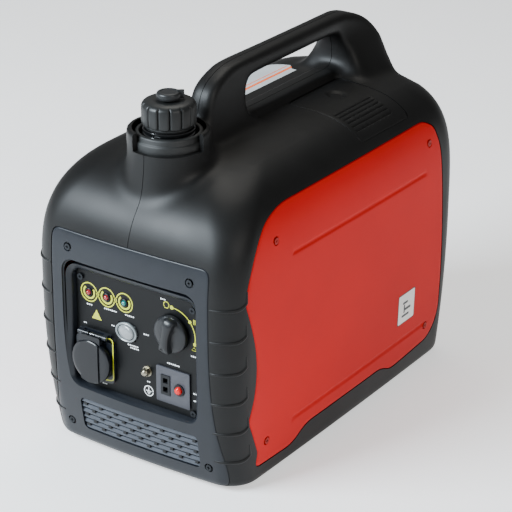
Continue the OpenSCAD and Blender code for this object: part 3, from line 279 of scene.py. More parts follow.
def drill(ob, places, y0, y1):
    """Screw holes along y at places (x, z)."""
    for x, z in places:
        cut_with(ob, rod((x, y0, z), (x, y1, z), SCREW_HOLE, n=24))


def block(x0, x1, y0, y1, z0, z1):
    pts = [(x, y, z) for x in (x0, x1) for y in (y0, y1) for z in (z0, z1)]
    return pts, [(0, 1, 3, 2), (4, 6, 7, 5), (0, 4, 5, 1), (2, 3, 7, 6), (0, 2, 6, 4), (1, 5, 7, 3)]


def rod(p, q, r0, r1=None, n=40):
    """A cylinder or cone from p to q."""
    r1 = r0 if r1 is None else r1
    p, q = Vector(p), Vector(q)
    w = (q - p).normalized()
    u = w.orthogonal().normalized()
    v = w.cross(u)
    turns = [math.tau * i / n for i in range(n)]
    return loft([[tuple(c + u * (r * math.cos(a)) + v * (r * math.sin(a))) for a in turns]
                 for c, r in ((p, r0), (q, r1))])


def lathe(prof, c, axis="z", n=72, hollow=False):
    """A profile of (radius, along) turned about z, or about -y, through c."""
    rings = []
    for r, t in prof:
        ring = []
        for i in range(n):
            a = math.tau * i / n
            x, y = r * math.cos(a), r * math.sin(a)
            ring.append((c[0] + x, c[1] + y, c[2] + t) if axis == "z" else (c[0] + x, c[1] - t, c[2] + y))
        rings.append(ring)
    return loft(rings, closed=hollow)


def ball(c, rx, ry, rz, n=32, k=18):
    rings = []
    for t in (math.pi * j / k for j in range(1, k)):
        x, y, z = rx * math.sin(t), ry * math.sin(t), -rz * math.cos(t)
        rings.append([(c[0] + x * math.cos(a), c[1] + y * math.sin(a), c[2] + z)
                      for a in (math.tau * i / n for i in range(n))])
    return loft(rings)


def tube(path, radii, n=12):
    """A round tube along a path."""
    path = [Vector(p) for p in path]
    rings, u = [], None
    for i, p in enumerate(path):
        t = (path[min(i + 1, len(path) - 1)] - path[max(i - 1, 0)]).normalized()
        u = (t.orthogonal() if u is None else u - t * u.dot(t)).normalized()
        v = t.cross(u)
        r = radii[i] if hasattr(radii, "__len__") else radii
        rings.append([tuple(p + u * (r * math.cos(math.tau * k / n)) + v * (r * math.sin(math.tau * k / n)))
                      for k in range(n)])
    return loft(rings)


# ---------------------------------------------------------------- outlines
def rrect(cx, cy, w, h, r, n=10):
    out = []
    for sx, sy, a0 in ((1, -1, -90), (1, 1, 0), (-1, 1, 90), (-1, -1, 180)):
        for i in range(n + 1):
            a = math.radians(a0 + 90 * i / n)
            out.append((cx + sx * (w / 2 - r) + r * math.cos(a), cy + sy * (h / 2 - r) + r * math.sin(a)))
    return np.array(out)


def fillet(pts, r, n=9):
    """Rounds the corners of a polygon: sharp ones by r, gentle ones over most of their sides."""
    p = np.array(pts, float)
    out = []
    for i in range(len(p)):
        a, b, c = p[i - 1], p[i], p[(i + 1) % len(p)]
        la, lc = np.linalg.norm(a - b), np.linalg.norm(c - b)
        ea, ec = (a - b) / la, (c - b) / lc
        turn = math.pi - math.acos(max(-1, min(1, float(ea @ ec))))
        t = 0.49 * min(la, lc) if turn < 0.6 else min(r * math.tan(turn / 2) * 1.25, 0.49 * min(la, lc))
        s, e = b + ea * t, b + ec * t
        out += [(1 - k) ** 2 * s + 2 * k * (1 - k) * b + k * k * e for k in np.linspace(0, 1, n)]
    return np.array(out)


def resample(p, step):
    q = np.vstack([p, p[:1]])
    seg = np.linalg.norm(np.diff(q, axis=0), axis=1)
    s = np.concatenate([[0], np.cumsum(seg)])
    t = np.linspace(0, s[-1], max(12, int(s[-1] / step)), endpoint=False)
    return np.stack([np.interp(t, s, q[:, 0]), np.interp(t, s, q[:, 1])], 1)


def ccw(p):
    x, y = p[:, 0], p[:, 1]
    return p if np.sum(x * np.roll(y, -1) - np.roll(x, -1) * y) > 0 else p[::-1]


def inset(p, t):
    """An outline moved inwards by t."""
    p = ccw(p)
    d = np.roll(p, -1, 0) - np.roll(p, 1, 0)
    d /= np.linalg.norm(d, axis=1)[:, None]
    return p + t * np.stack([-d[:, 1], d[:, 0]], 1)


def shrink(raw, t):
    """A polygon with its sides moved inwards by t, its corners kept sharp."""
    p = ccw(np.array(raw, float))
    e = np.roll(p, -1, 0) - p
    e /= np.linalg.norm(e, axis=1)[:, None]
    n2 = np.stack([-e[:, 1], e[:, 0]], 1)
    n1 = np.roll(n2, 1, 0)
    return p + t * (n1 + n2) / (1 + np.sum(n1 * n2, 1))[:, None]


def depth_in(pts, loop):
    """Distance inside a closed outline, below zero outside."""
    a, b = loop, np.roll(loop, -1, 0)
    out = np.empty(len(pts))
    for s in range(0, len(pts), 4000):
        q = pts[s:s + 4000, None, :]
        ab = b - a
        t = np.clip(np.sum((q - a) * ab, 2) / np.sum(ab * ab, 1), 0, 1)
        dist = np.linalg.norm(q - (a + t[..., None] * ab), axis=2).min(1)
        cross = ((a[:, 1] > q[..., 1]) != (b[:, 1] > q[..., 1])) & (
            q[..., 0] < (b[:, 0] - a[:, 0]) * (q[..., 1] - a[:, 1]) / (b[:, 1] - a[:, 1] + 1e-12) + a[:, 0])
        out[s:s + 4000] = np.where(cross.sum(1) % 2 == 1, dist, -dist)
    return out


def fill(loop, inner):
    """Triangles inside an outline and through inner points, as indices into both."""
    pts = [Vector((float(x), float(y))) for x, y in list(loop) + list(inner)]
    n = len(loop)
    res = delaunay_2d_cdt(pts, [(i, (i + 1) % n) for i in range(n)], [], 1, 1e-6)
    back = [o[0] if o else -1 for o in res[3]]
    return [tuple(back[i] for i in f) for f in res[2] if min(back[i] for i in f) >= 0]


def prism(outline, way, lo, hi):
    """An outline carried along x, y or z, as a closed solid."""
    p = ccw(np.asarray(outline))
    n = len(p)
    put = {"x": lambda q, t: (t, q[0], q[1]), "y": lambda q, t: (q[0], t, q[1]),
           "z": lambda q, t: (q[0], q[1], t)}[way]
    pts = [put(q, lo) for q in p] + [put(q, hi) for q in p]
    cap = fill(p, [])
    faces = [(i, (i + 1) % n, n + (i + 1) % n, n + i) for i in range(n)]
    faces += [tuple(reversed(f)) for f in cap] + [tuple(i + n for i in f) for f in cap]
    return pts, faces


def groove(p, q, w, deep, step=4.0):
    """A soft groove between two places of a cover: its extra points, its reach and its depth."""
    p, q = np.array(p, float), np.array(q, float)
    u = (q - p) / np.linalg.norm(q - p)
    v = np.array([-u[1], u[0]])
    k = np.arange(0, np.linalg.norm(q - p) + 0.1, step)
    rows = [p + u * s + v * (w * o) for s in k for o in (-1.1, -0.8, -0.55, -0.3, 0, 0.3, 0.55, 0.8, 1.1)]

    def dist(x):
        t = np.clip((x - p) @ u, 0, np.linalg.norm(q - p))
        return np.linalg.norm(x - (p + t[:, None] * u), axis=1)

    def h(x):
        return deep * np.cos(np.clip(dist(x) / w, 0, 1) * math.pi / 2) ** 2
    return rows, lambda x: dist(x) < w * 1.3, h


def well(c, r, deep, edge=0.7):
    """A round well with a soft edge."""
    c = np.array(c, float)
    turns = np.linspace(0, math.tau, 28, endpoint=False)
    rows = [c] + [c + rr * np.array([math.cos(a), math.sin(a)])
                  for rr in (r * 0.5, r - edge, r - edge / 2, r, r + edge, r + 2.4) for a in turns]

    def h(x):
        t = np.clip((r - np.linalg.norm(x - c, axis=1)) / edge, 0, 1)
        return deep * t * t * (3 - 2 * t)
    return rows, lambda x: np.linalg.norm(x - c, axis=1) < r + 3.2, h


def cover(outline, surf, feats=(), er=1.5, thick=WALL, cell=5.0, step=3.0):
    """A moulded cover that follows the form, with rounded edges and features in its face."""
    loop = ccw(resample(np.asarray(outline), step))
    rim = inset(loop, er)
    x0, y0 = rim.min(0)
    x1, y1 = rim.max(0)
    gx, gy = np.meshgrid(np.arange(x0, x1, cell), np.arange(y0, y1, cell * 0.87))
    gx = gx + (np.arange(gx.shape[0]) % 2)[:, None] * cell / 2
    pts = np.stack([gx.ravel(), gy.ravel()], 1)
    for rows, near, _ in feats:
        pts = pts[~near(pts)]
    if feats:
        pts = np.vstack([pts] + [np.array(rows) for rows, _, _ in feats])
    pts = pts[depth_in(pts, rim) > 1.2]
    tri = fill(rim, pts)
    n, k = len(loop), len(pts)
    h = np.zeros(k)
    for _, _, f in feats:
        h = np.maximum(h, f(pts))
    rings = [(er, thick), (0.0, thick)] + [(er * (1 - math.cos(a)), er * (1 - math.sin(a)))
                                           for a in (0.0, 0.4, 0.8, 1.2, math.pi / 2)]
    vs = [surf(inset(loop, t), np.full(n, d)) for t, d in rings]
    vs = np.vstack(vs + [surf(pts, h), surf(pts, np.full(k, thick))])
    m = len(rings)
    faces = [(j * n + i, j * n + (i + 1) % n, (j + 1) * n + (i + 1) % n, (j + 1) * n + i)
             for j in range(m - 1) for i in range(n)]
    top = [(m - 1) * n + i for i in range(n)] + [m * n + i for i in range(k)]
    bot = list(range(n)) + [m * n + k + i for i in range(k)]
    faces += [tuple(top[i] for i in f) for f in tri] + [tuple(bot[i] for i in reversed(f)) for f in tri]
    return [tuple(v) for v in vs], faces


# ---------------------------------------------------------------- materials
def lin(h):
    v = [int(h[i:i + 2], 16) / 255 for i in (1, 3, 5)]
    return tuple(((c + 0.055) / 1.055) ** 2.4 if c > 0.04045 else c / 12.92 for c in v)


class Graph:
    def __init__(self, name):
        self.mat = bpy.data.materials.new(name)
        self.mat.use_nodes = True
        self.t = self.mat.node_tree
        self.t.nodes.clear()
        self.out = self.t.nodes.new("ShaderNodeOutputMaterial")
        self.bsdf = self.t.nodes.new("ShaderNodeBsdfPrincipled")
        self.t.links.new(self.bsdf.outputs[0], self.out.inputs["Surface"])
        self.co = self.t.nodes.new("ShaderNodeTexCoord").outputs["Object"]

    def node(self, kind, **put):
        n = self.t.nodes.new(kind)
        for k, v in put.items():
            setattr(n, k, v)
        return n

    def link(self, a, b):
        self.t.links.new(a, b)

    def scaled(self, s):
        m = self.node("ShaderNodeMapping")
        m.inputs["Scale"].default_value = s
        self.link(self.co, m.inputs["Vector"])
        return m.outputs[0]

    def noise(self, scale, detail=3.0, rough=0.55, co=None):
        n = self.node("ShaderNodeTexNoise")
        n.inputs["Scale"].default_value = scale
        n.inputs["Detail"].default_value = detail
        n.inputs["Roughness"].default_value = rough
        self.link(co or self.co, n.inputs["Vector"])
        return n.outputs["Fac"]

    def span(self, value, lo, hi, a=0.3, b=0.7):
        n = self.node("ShaderNodeMapRange")
        n.inputs["From Min"].default_value = a
        n.inputs["From Max"].default_value = b
        n.inputs["To Min"].default_value = lo
        n.inputs["To Max"].default_value = hi
        self.link(value, n.inputs["Value"])
        return n.outputs[0]

    def mix(self, fac, a, b):
        n = self.node("ShaderNodeMix", data_type="RGBA")
        n.inputs[6].default_value = (*a, 1) if isinstance(a, tuple) else (0, 0, 0, 1)
        n.inputs[7].default_value = (*b, 1) if isinstance(b, tuple) else (0, 0, 0, 1)
        if not isinstance(a, tuple):
            self.link(a, n.inputs[6])
        if not isinstance(b, tuple):
            self.link(b, n.inputs[7])
        self.link(fac, n.inputs[0])
        return n.outputs[2]

    def bump(self, height, dist, strength=1.0, under=None):
        n = self.node("ShaderNodeBump")
        n.inputs["Distance"].default_value = dist
        n.inputs["Strength"].default_value = strength
        self.link(height, n.inputs["Height"])
        if under:
            self.link(under, n.inputs["Normal"])
        return n.outputs[0]

    def put(self, **kw):
        for k, v in kw.items():
            s = self.bsdf.inputs[k.replace("_", " ")]
            if isinstance(v, bpy.types.NodeSocket):
                self.link(v, s)
            else:
                s.default_value = v
        return self.mat


def tint(c, k):
    return tuple(min(1.0, v * k) for v in c)


def moulded(name, hexa, rough=0.45, grain=900.0, deep=0.00006, coat=0.0, spec=0.5, wear=0.06):
    """Moulded plastic with a fine eroded texture, faint flow marks and rubbed patches."""
    g = Graph(name)
    c = lin(hexa)
    fine = g.noise(grain, 2.0, 0.6)
    mid = g.noise(60.0, 4.0)
    big = g.noise(9.0, 3.0)
    colour = g.mix(g.span(mid, 0.0, 1.0), tint(c, 0.9), tint(c, 1.1))
    colour = g.mix(g.span(big, 0.0, 0.5, 0.45, 0.8), colour, tint(c, 1.25))
    n = g.bump(fine, deep, 0.8)
    n = g.bump(mid, deep * 0.8, 0.25, n)
    return g.put(Base_Color=colour, Roughness=g.span(big, rough - wear, rough + wear), Normal=n,
                 Coat_Weight=coat, Coat_Roughness=0.12, Specular_IOR_Level=spec)


def painted(name, hexa, rough=0.28, peel=220.0, coat=0.0):
    """Coloured gloss plastic with a soft orange-peel and slight depth of colour."""
    g = Graph(name)
    c = lin(hexa)
    wave = g.noise(peel, 2.0, 0.5)
    cloud = g.noise(7.0, 3.0)
    dust = g.noise(1500.0, 2.0)
    colour = g.mix(g.span(cloud, 0.0, 1.0), tint(c, 0.92), tint(c, 1.04))
    n = g.bump(wave, 0.00003, 0.12)
    return g.put(Base_Color=colour, Roughness=g.span(dust, rough - 0.04, rough + 0.05), Normal=n,
                 Coat_Weight=coat, Coat_Roughness=0.15, Specular_IOR_Level=0.12)


def metal(name, hexa, rough=0.3, stretch=(40.0, 40.0, 1500.0), deep=0.00003, cast_skin=False):
    """Metal, brushed along one way or with a cast skin."""
    g = Graph(name)
    c = lin(hexa)
    lines = g.noise(420.0, 4.0) if cast_skin else g.noise(1.0, 3.0, 0.6, g.scaled(stretch))
    blot = g.noise(25.0, 4.0)
    colour = g.mix(g.span(blot, 0.0, 1.0), tint(c, 0.8), tint(c, 1.1))
    n = g.bump(lines, deep * (4 if cast_skin else 1), 0.6)
    return g.put(Base_Color=colour, Metallic=1.0, Normal=n,
                 Roughness=g.span(blot, max(0.05, rough - 0.08), rough + 0.12))


def rubber(name, hexa, rough=0.75):
    g = Graph(name)
    c = lin(hexa)
    fine = g.noise(1400.0, 3.0, 0.7)
    dust = g.noise(40.0, 5.0)
    colour = g.mix(g.span(dust, 0.0, 0.7, 0.45, 0.75), c, tint(c, 1.9))
    return g.put(Base_Color=colour, Roughness=g.span(dust, rough - 0.08, rough + 0.1),
                 Normal=g.bump(fine, 0.00008, 0.7), Specular_IOR_Level=0.35)


def braid(name, hexa):
    g = Graph(name)
    c = lin(hexa)
    w = g.node("ShaderNodeTexWave", wave_type="BANDS", bands_direction="DIAGONAL")
    w.inputs["Scale"].default_value = 260.0
    w.inputs["Distortion"].default_value = 1.5
    g.link(g.co, w.inputs["Vector"])
    fuzz = g.noise(1200.0, 3.0)
    colour = g.mix(w.outputs["Fac"], tint(c, 0.6), c)
    n = g.bump(w.outputs["Fac"], 0.0004, 0.8)
    return g.put(Base_Color=colour, Roughness=g.span(fuzz, 0.75, 0.95), Normal=g.bump(fuzz, 0.0001, 0.6, n))


def lamp(name, hexa, glow=0.6):
    g = Graph(name)
    c = lin(hexa)
    f = g.noise(300.0, 2.0)
    colour = g.mix(g.span(f, 0.0, 1.0), tint(c, 0.8), c)
    return g.put(Base_Color=colour, Roughness=g.span(f, 0.08, 0.16), Emission_Color=(*c, 1.0),
                 Emission_Strength=glow, Coat_Weight=0.6, Coat_Roughness=0.05, Normal=g.bump(f, 0.00004, 0.3))


def ink(name, hexa, rough=0.5):
    """Printed ink with slight unevenness."""
    g = Graph(name)
    c = lin(hexa)
    f = g.noise(700.0, 3.0)
    big = g.noise(30.0, 2.0)
    return g.put(Base_Color=g.mix(g.span(big, 0.0, 1.0), tint(c, 0.9), c),
                 Roughness=g.span(f, rough - 0.08, rough + 0.08), Normal=g.bump(f, 0.00002, 0.3))


CASE = moulded("case_plastic", "#0c0c0c", 0.46, 850.0, 0.00006, spec=0.2)
CASE_COVER = moulded("plug_cover_plastic", "#0c0c0c", 0.48, 850.0, 0.00006, spec=0.19)
FASCIA = moulded("fascia_plastic", "#15181d", 0.36, 1100.0, 0.00004, spec=0.24)
# the slats get a lighter, grey-blue copy of the fascia plastic: painted light where the slats catch the cool
# key light
SLAT_PAINTED_LIGHT = moulded("slat_plastic", "#393d44", 0.36, 1100.0, 0.00004, spec=0.3)
REAR = moulded("rear_plastic", "#2a2b2c", 0.45, spec=0.24)
TRAY = moulded("tray_plastic", "#1f2022", 0.55, spec=0.2)
PLATE = moulded("plate_plastic", "#040506", 0.4, 1300.0, 0.00002, spec=0.16)
SOCKET = moulded("socket_plastic", "#101319", 0.33, 1200.0, 0.00002, 0.15, spec=0.25)
FLIP = moulded("flip_plastic", "#06080d", 0.3, 1200.0, 0.00002, 0.25, spec=0.16)
DARK = moulded("dark_plastic", "#141517", 0.42, spec=0.2)
KNOB = moulded("knob_plastic", "#17181a", 0.34, 1000.0, 0.00003, 0.1, spec=0.22)
DC = moulded("dc_plastic", "#2a2b32", 0.42, 1200.0, 0.00003)
CAP = moulded("cap_plastic", "#161717", 0.42, 800.0, 0.00006, spec=0.26)
VENT = moulded("vent_plastic", "#1b1c1d", 0.4, 800.0, 0.00006, spec=0.26)
NECK = moulded("neck_gloss", "#0b0c0d", 0.14, 500.0, 0.00002, 0.6)
KEY = moulded("key_plastic", "#6f7375", 0.24, 300.0, 0.00004, 0.5)
KEY_RIM = moulded("key_rim", "#6f7577", 0.3, 500.0, 0.00004, 0.4)
TANK = moulded("tank_plastic", "#26272a", 0.5, 500.0)
WHITE = moulded("reel_plastic", "#d5d6d7", 0.45)
FAN = moulded("fan_plastic", "#303236", 0.5)
RED = painted("panel_red", "#b80302", 0.5)
RED_SCREW = painted("screw_red", "#8e1009", 0.35)
BUTTON = painted("button_red", "#c01515", 0.22, coat=0.4)
BLACK_PAINT = painted("black_paint", "#17181a", 0.35)
STEEL = metal("steel", "#9b9ea2", 0.25)
SCREW = metal("screw_steel", "#2f3134", 0.38, cast_skin=True)
NUT = metal("nut_plate", "#8d8878", 0.3)
DULL = metal("heat_steel", "#6d6a66", 0.42, (1500.0, 60.0, 60.0))
ALLOY = metal("cast_alloy", "#a7a9ab", 0.42, cast_skin=True)
PRESSED = metal("pressed_alloy", "#bfc1c3", 0.33, (60.0, 900.0, 60.0))
FINS = metal("extruded_alloy", "#8e9194", 0.36, (900.0, 40.0, 40.0))
IRON = metal("rotor_iron", "#5c5e61", 0.45, cast_skin=True)
COPPER = metal("copper_wire", "#a5582a", 0.32, (700.0, 700.0, 700.0), 0.0002)
BRASS = metal("brass", "#bd9848", 0.28)
RUBBER = rubber("rubber_black", "#141414")
COLLAR = rubber("rubber_collar", "#121313", 0.5)
GRIP = rubber("rubber_grip", "#18191a", 0.6)
ROPE = braid("rope_braid", "#dcd9cf")
YELLOW = ink("ink_yellow", "#acaf22")
PALE = ink("ink_white", "#dadcdc")
ORANGE = ink("ink_orange", "#e2622a")
LABEL = ink("label_pale", "#e4e3df", 0.4)
SILVER = ink("label_silver", "#b0b3b5", 0.35)
GREY_INK = ink("ink_grey", "#3a3d40")
DARK_INK = ink("ink_dark", "#141414")
LED_RED = lamp("led_red", "#8a1620", 0.12)
LED_GREEN = lamp("led_teal", "#14706c", 0.12)

FINISHES = (
    (TRAY, "base_tray"),
    (RUBBER, "rubber_feet cap_seal plug_cap engine_mounts"),
    (SCREW, "fascia_screws control_plate_screws rear_cover_screws"),
    (RED_SCREW, "side_panel_screws"),
    (PLATE, "control_plate"),
    (LED_RED, "led_lamps"),
    (KEY_RIM, "rocker_frame"),
    (KEY, "rocker"),
    (SOCKET, "ac_socket_body"),
    (FLIP, "ac_cover"),
    (STEEL, "ac_hinge_pin ac_cover_spring knob_shaft recoil_spring crankshaft"),
    (DC, "dc_plate"),
    (DARK, "dc_socket breaker_body cap_insert"),
    (BUTTON, "breaker_button"),
    (NUT, "ground_terminal spark_plug"),
    (KNOB, "engine_knob"),
    (ALLOY, "fuel_valve crankcase cylinder_barrel cylinder_head carburettor"),
    (TANK, "fuel_tank air_filter_box"),
    (NECK, "filler_neck"),
    (COLLAR, "neck_collar"),
    (CAP, "fuel_cap"),
    (VENT, "vent_knob"),
    (PRESSED, "recoil_housing starter_cup"),
    (WHITE, "recoil_reel"),
    (ROPE, "rope_winding starter_rope"),
    (GRIP, "starter_grip"),
    (FAN, "cooling_fan fan_shroud"),
    (IRON, "flywheel_rotor"),
    (COPPER, "stator"),
    (BLACK_PAINT, "valve_cover"),
    (BRASS, "throttle_valve"),
    (DULL, "muffler"),
    (FINS, "inverter_module"),
    (CASE, "case_left case_right"),
    (FASCIA, "front_fascia"),
    (REAR, "rear_cover"),
    (RED, "side_panel_left side_panel_right"),
    (CASE_COVER, "spark_plug_cover"),
)
for finish, names in FINISHES:
    for node_name in names.split():
        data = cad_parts[node_name].data
        data.materials.clear()
        data.materials.append(finish)


# ---------------------------------------------------------------- repeated pieces
def scatter_group():
    """Geometry nodes: an object on every point, turned and sized by the points' own values."""
    t = bpy.data.node_groups.new("scatter", "GeometryNodeTree")
    for n, kind, way in (("Geometry", "NodeSocketGeometry", "INPUT"), ("Piece", "NodeSocketObject", "INPUT"),
                         ("Size", "NodeSocketFloat", "INPUT"), ("Material", "NodeSocketMaterial", "INPUT"),
                         ("Geometry", "NodeSocketGeometry", "OUTPUT")):
        t.interface.new_socket(name=n, in_out=way, socket_type=kind)
    add = t.nodes.new
    gi, go = add("NodeGroupInput"), add("NodeGroupOutput")
    info, inst, real, mat = (add(k) for k in ("GeometryNodeObjectInfo", "GeometryNodeInstanceOnPoints",
                                              "GeometryNodeRealizeInstances", "GeometryNodeSetMaterial"))
    turn, grow, mul = (add(k) for k in ("GeometryNodeInputNamedAttribute", "GeometryNodeInputNamedAttribute",
                                        "ShaderNodeVectorMath"))
    e2r = add("FunctionNodeEulerToRotation")
    turn.data_type = grow.data_type = "FLOAT_VECTOR"
    turn.inputs["Name"].default_value = "turn"
    grow.inputs["Name"].default_value = "grow"
    mul.operation = "SCALE"
    link = t.links.new
    link(gi.outputs["Geometry"], inst.inputs["Points"])
    link(gi.outputs["Piece"], info.inputs["Object"])
    link(info.outputs["Geometry"], inst.inputs["Instance"])
    link(turn.outputs["Attribute"], e2r.inputs[0])
    link(e2r.outputs[0], inst.inputs["Rotation"])
    link(grow.outputs["Attribute"], mul.inputs[0])
    link(gi.outputs["Size"], mul.inputs["Scale"])
    link(mul.outputs["Vector"], inst.inputs["Scale"])
    link(inst.outputs["Instances"], real.inputs["Geometry"])
    link(real.outputs["Geometry"], mat.inputs["Geometry"])
    link(gi.outputs["Material"], mat.inputs["Material"])
    link(mat.outputs["Geometry"], go.inputs["Geometry"])
    return t


SCATTER = scatter_group()


def scatter(name, geo, places, mat, size=1.0, body="housing", angle=32, nodes=()):
    """Copies of a piece, each at (position in mm, turn in degrees, growth)."""
    seed = make(name + "_seed", geo)
    me = bpy.data.meshes.new(name)
    me.from_pydata([tuple(c * MM for c in p[0]) for p in places], [], [])
    for key, i, k in (("turn", 1, math.pi / 180), ("grow", 2, 1.0)):
        at = me.attributes.new(key, "FLOAT_VECTOR", "POINT")
        at.data.foreach_set("vector", [float(c) * k for p in places for c in p[i]])
    ob = bpy.data.objects.new(name, me)
    scene.collection.objects.link(ob)
    m = ob.modifiers.new("scatter", "NODES")
    m.node_group = SCATTER
    ids = {s.name: s.identifier for s in SCATTER.interface.items_tree if s.in_out == "INPUT"}
    m[ids["Piece"]] = seed
    m[ids["Size"]] = size
    m[ids["Material"]] = mat
    bpy.context.view_layer.update()
    evaluate(ob)
    drop(seed)
    return dress(ob, mat, angle, body, nodes)


# ---------------------------------------------------------------- outlines of the covers
SIDE_PTS = [[7, 12], [35, 12], [78, 5], [126, 1.5], [190, 0], [279, 0]]
fascia_raw = [(108 + w, z) for z, w in SIDE_PTS] + [(-108 - w, z) for z, w in reversed(SIDE_PTS)]
fascia_line = resample(fillet(fascia_raw, 9), 3)
rear_line = resample(rrect(0, 159.5, 200, 251, 16), 3)
PT, PF, PR, SC = 326.0, HL - 29, HL - 41, 22.0
panel_raw = [(PR - 38, PT), (PR - 20, PT - 10), (PR - 12, PT - 34), (PR - 3, 200), (PR, 120), (PR, 66),
             (PR - 9, 46), (PR - 26, 33), (108, 28), (93, 28), (71, 38), (-96, 38), (-122, 23),
             (24 - PF, 25), (28 - PF, 44), (8 - PF, 92),
             (SC - 4 - PF, 118), (SC - PF, 150), (SC - 3 - PF, 181), (9 - PF, 214), (-PF, 240), (6 - PF, 262),
             (21 - PF, 292), (44 - PF, 315), (80 - PF, PT)]
panel_line = resample(fillet(panel_raw, 9), 3)
plug_line = resample(rrect(69, 96, 102, 108, 6), 3)
FASCIA_SCREWS = [(-84, 260), (84, 260), (-98, 30), (98, 30)]
REAR_SCREWS = [(-84, 270), (84, 270), (-84, 49), (84, 49)]
PANEL_SCREWS = [(-160, 292), (172, 299), (-176, 52), (176, 54)]
LEDGE = 12


def opening(raw):
    """The hole behind a cover, with a ledge left all round it."""
    return resample(fillet(shrink(raw, LEDGE), 6), 3)


# each cover's outline, the way it is cut, from and to where, and its opening if not a plain one
OUTLINES = [
    (fascia_line, "y", -HL - 5, 0, opening(fascia_raw)),
    (rear_line, "y", 0, HL + 5, None),
    (panel_line, "x", -W, 0, opening(panel_raw)),
    (panel_line, "x", 0, W, opening(panel_raw)),
    (plug_line, "z", 260, OVERALL, None),
]


# ---------------------------------------------------------------- handle
def glide(a, b, c, d, t):
    """A smooth passage from b to c, led by a and d."""
    return (2 * b + (c - a) * t + (2 * a - 5 * b + 4 * c - d) * t * t + (3 * b - a - 3 * c + d) * t ** 3) / 2


# front foot, rear foot, top and underside of the grip
F, R, T, U = -32.0, 160.0, OVERALL, 417.0
# each section: outer y and z, inner y and z, half width
SECTIONS = np.array([
    [F - 96, TOP - 26, F + 6, TOP - 26, 31], [F - 89, TOP + 2, F, TOP + 2, 24],
    [F - 82, T - 48, F - 4, T - 50, 18],
    [F - 71, T - 20, F - 3, T - 36, 16], [F - 45, T - 5, F + 3, T - 27, 15], [F - 10, T, F + 16, U, 15],
    [(F + R) / 2, T, (F + R) / 2, U, 15], [R - 10, T, R - 20, U, 15], [R + 24, T - 3, R - 3, U - 3, 17],
    [R + 52, T - 14, R + 3, U - 14, 22], [R + 69, T - 33, R + 5, U - 27, 30],
    [R + 78, T - 58, R + 4, U - 41, 40],
    [R + 81, TOP - 14, R - 2, TOP - 6, 54], [R + 76, TOP - 42, R - 10, TOP - 30, 65]], float)


def handle(n_arc=6, n_step=5):
    rings, last = [], len(SECTIONS) - 1
    pick = lambda i: SECTIONS[min(max(i, 0), last)]
    secs = [glide(pick(i - 1), pick(i), pick(i + 1), pick(i + 2), t / n_step)
            for i in range(last) for t in range(n_step)]
    for s in secs + [SECTIONS[last]]:
        s = s.copy()
        s[1] = min(s[1], T)
        across = s[:2] - s[2:4]
        h = np.linalg.norm(across)
        way, mid = across / h, (s[:2] + s[2:4]) / 2
        r = min(9.5, h / 2 - 0.5, s[4] - 0.5)
        ring = []
        for sx, sv, a0 in ((1, 1, 0), (-1, 1, 90), (-1, -1, 180), (1, -1, 270)):
            for i in range(n_arc + 1):
                a = math.radians(a0 + 90 * i / n_arc)
                x, v = sx * (s[4] - r) + r * math.cos(a), sv * (h / 2 - r) + r * math.sin(a)
                ring.append((x, mid[0] + way[0] * v, mid[1] + way[1] * v))
        rings.append(ring)
    return loft(rings)


# ---------------------------------------------------------------- case halves
def soften(ob, weight, times, factor=0.5):
    """Laplacian smoothing of the points that a test weighs above zero."""
    me = ob.data
    n = len(me.vertices)
    co = np.empty(n * 3)
    me.vertices.foreach_get("co", co)
    co = co.reshape(-1, 3)
    e = np.empty(len(me.edges) * 2, int)
    me.edges.foreach_get("vertices", e)
    e = e.reshape(-1, 2)
    count = np.bincount(e.ravel(), minlength=n)[:, None]
    w = weight(co / MM)[:, None] * factor
    for _ in range(times):
        total = np.zeros_like(co)
        for k in range(3):
            total[:, k] = np.bincount(e[:, 0], co[e[:, 1], k], n) + np.bincount(e[:, 1], co[e[:, 0], k], n)
        co += (total / count - co) * w
    me.vertices.foreach_set("co", co.ravel())
    me.update()


def junction(p):
    """How strongly each place is rounded: at the feet of the handle and the boss."""
    x, y, z = p[:, 0], p[:, 1], p[:, 2]
    w = np.full(len(p), 0.0)
    ring = np.abs(np.hypot(x - FILLER[0], y - FILLER[1]) - 50)
    w = np.maximum(w, np.clip(1.3 - ring / 16, 0, 1) * np.clip((386 - z) / 6, 0, 1) * (z > 300))
    hs = np.clip(1.6 - np.abs(z - 366) / 22, 0, 1)
    w = np.maximum(w, hs * (np.abs(x) < 85) * ((y < -20) & (y > -150) | (y > 148)))
    return w


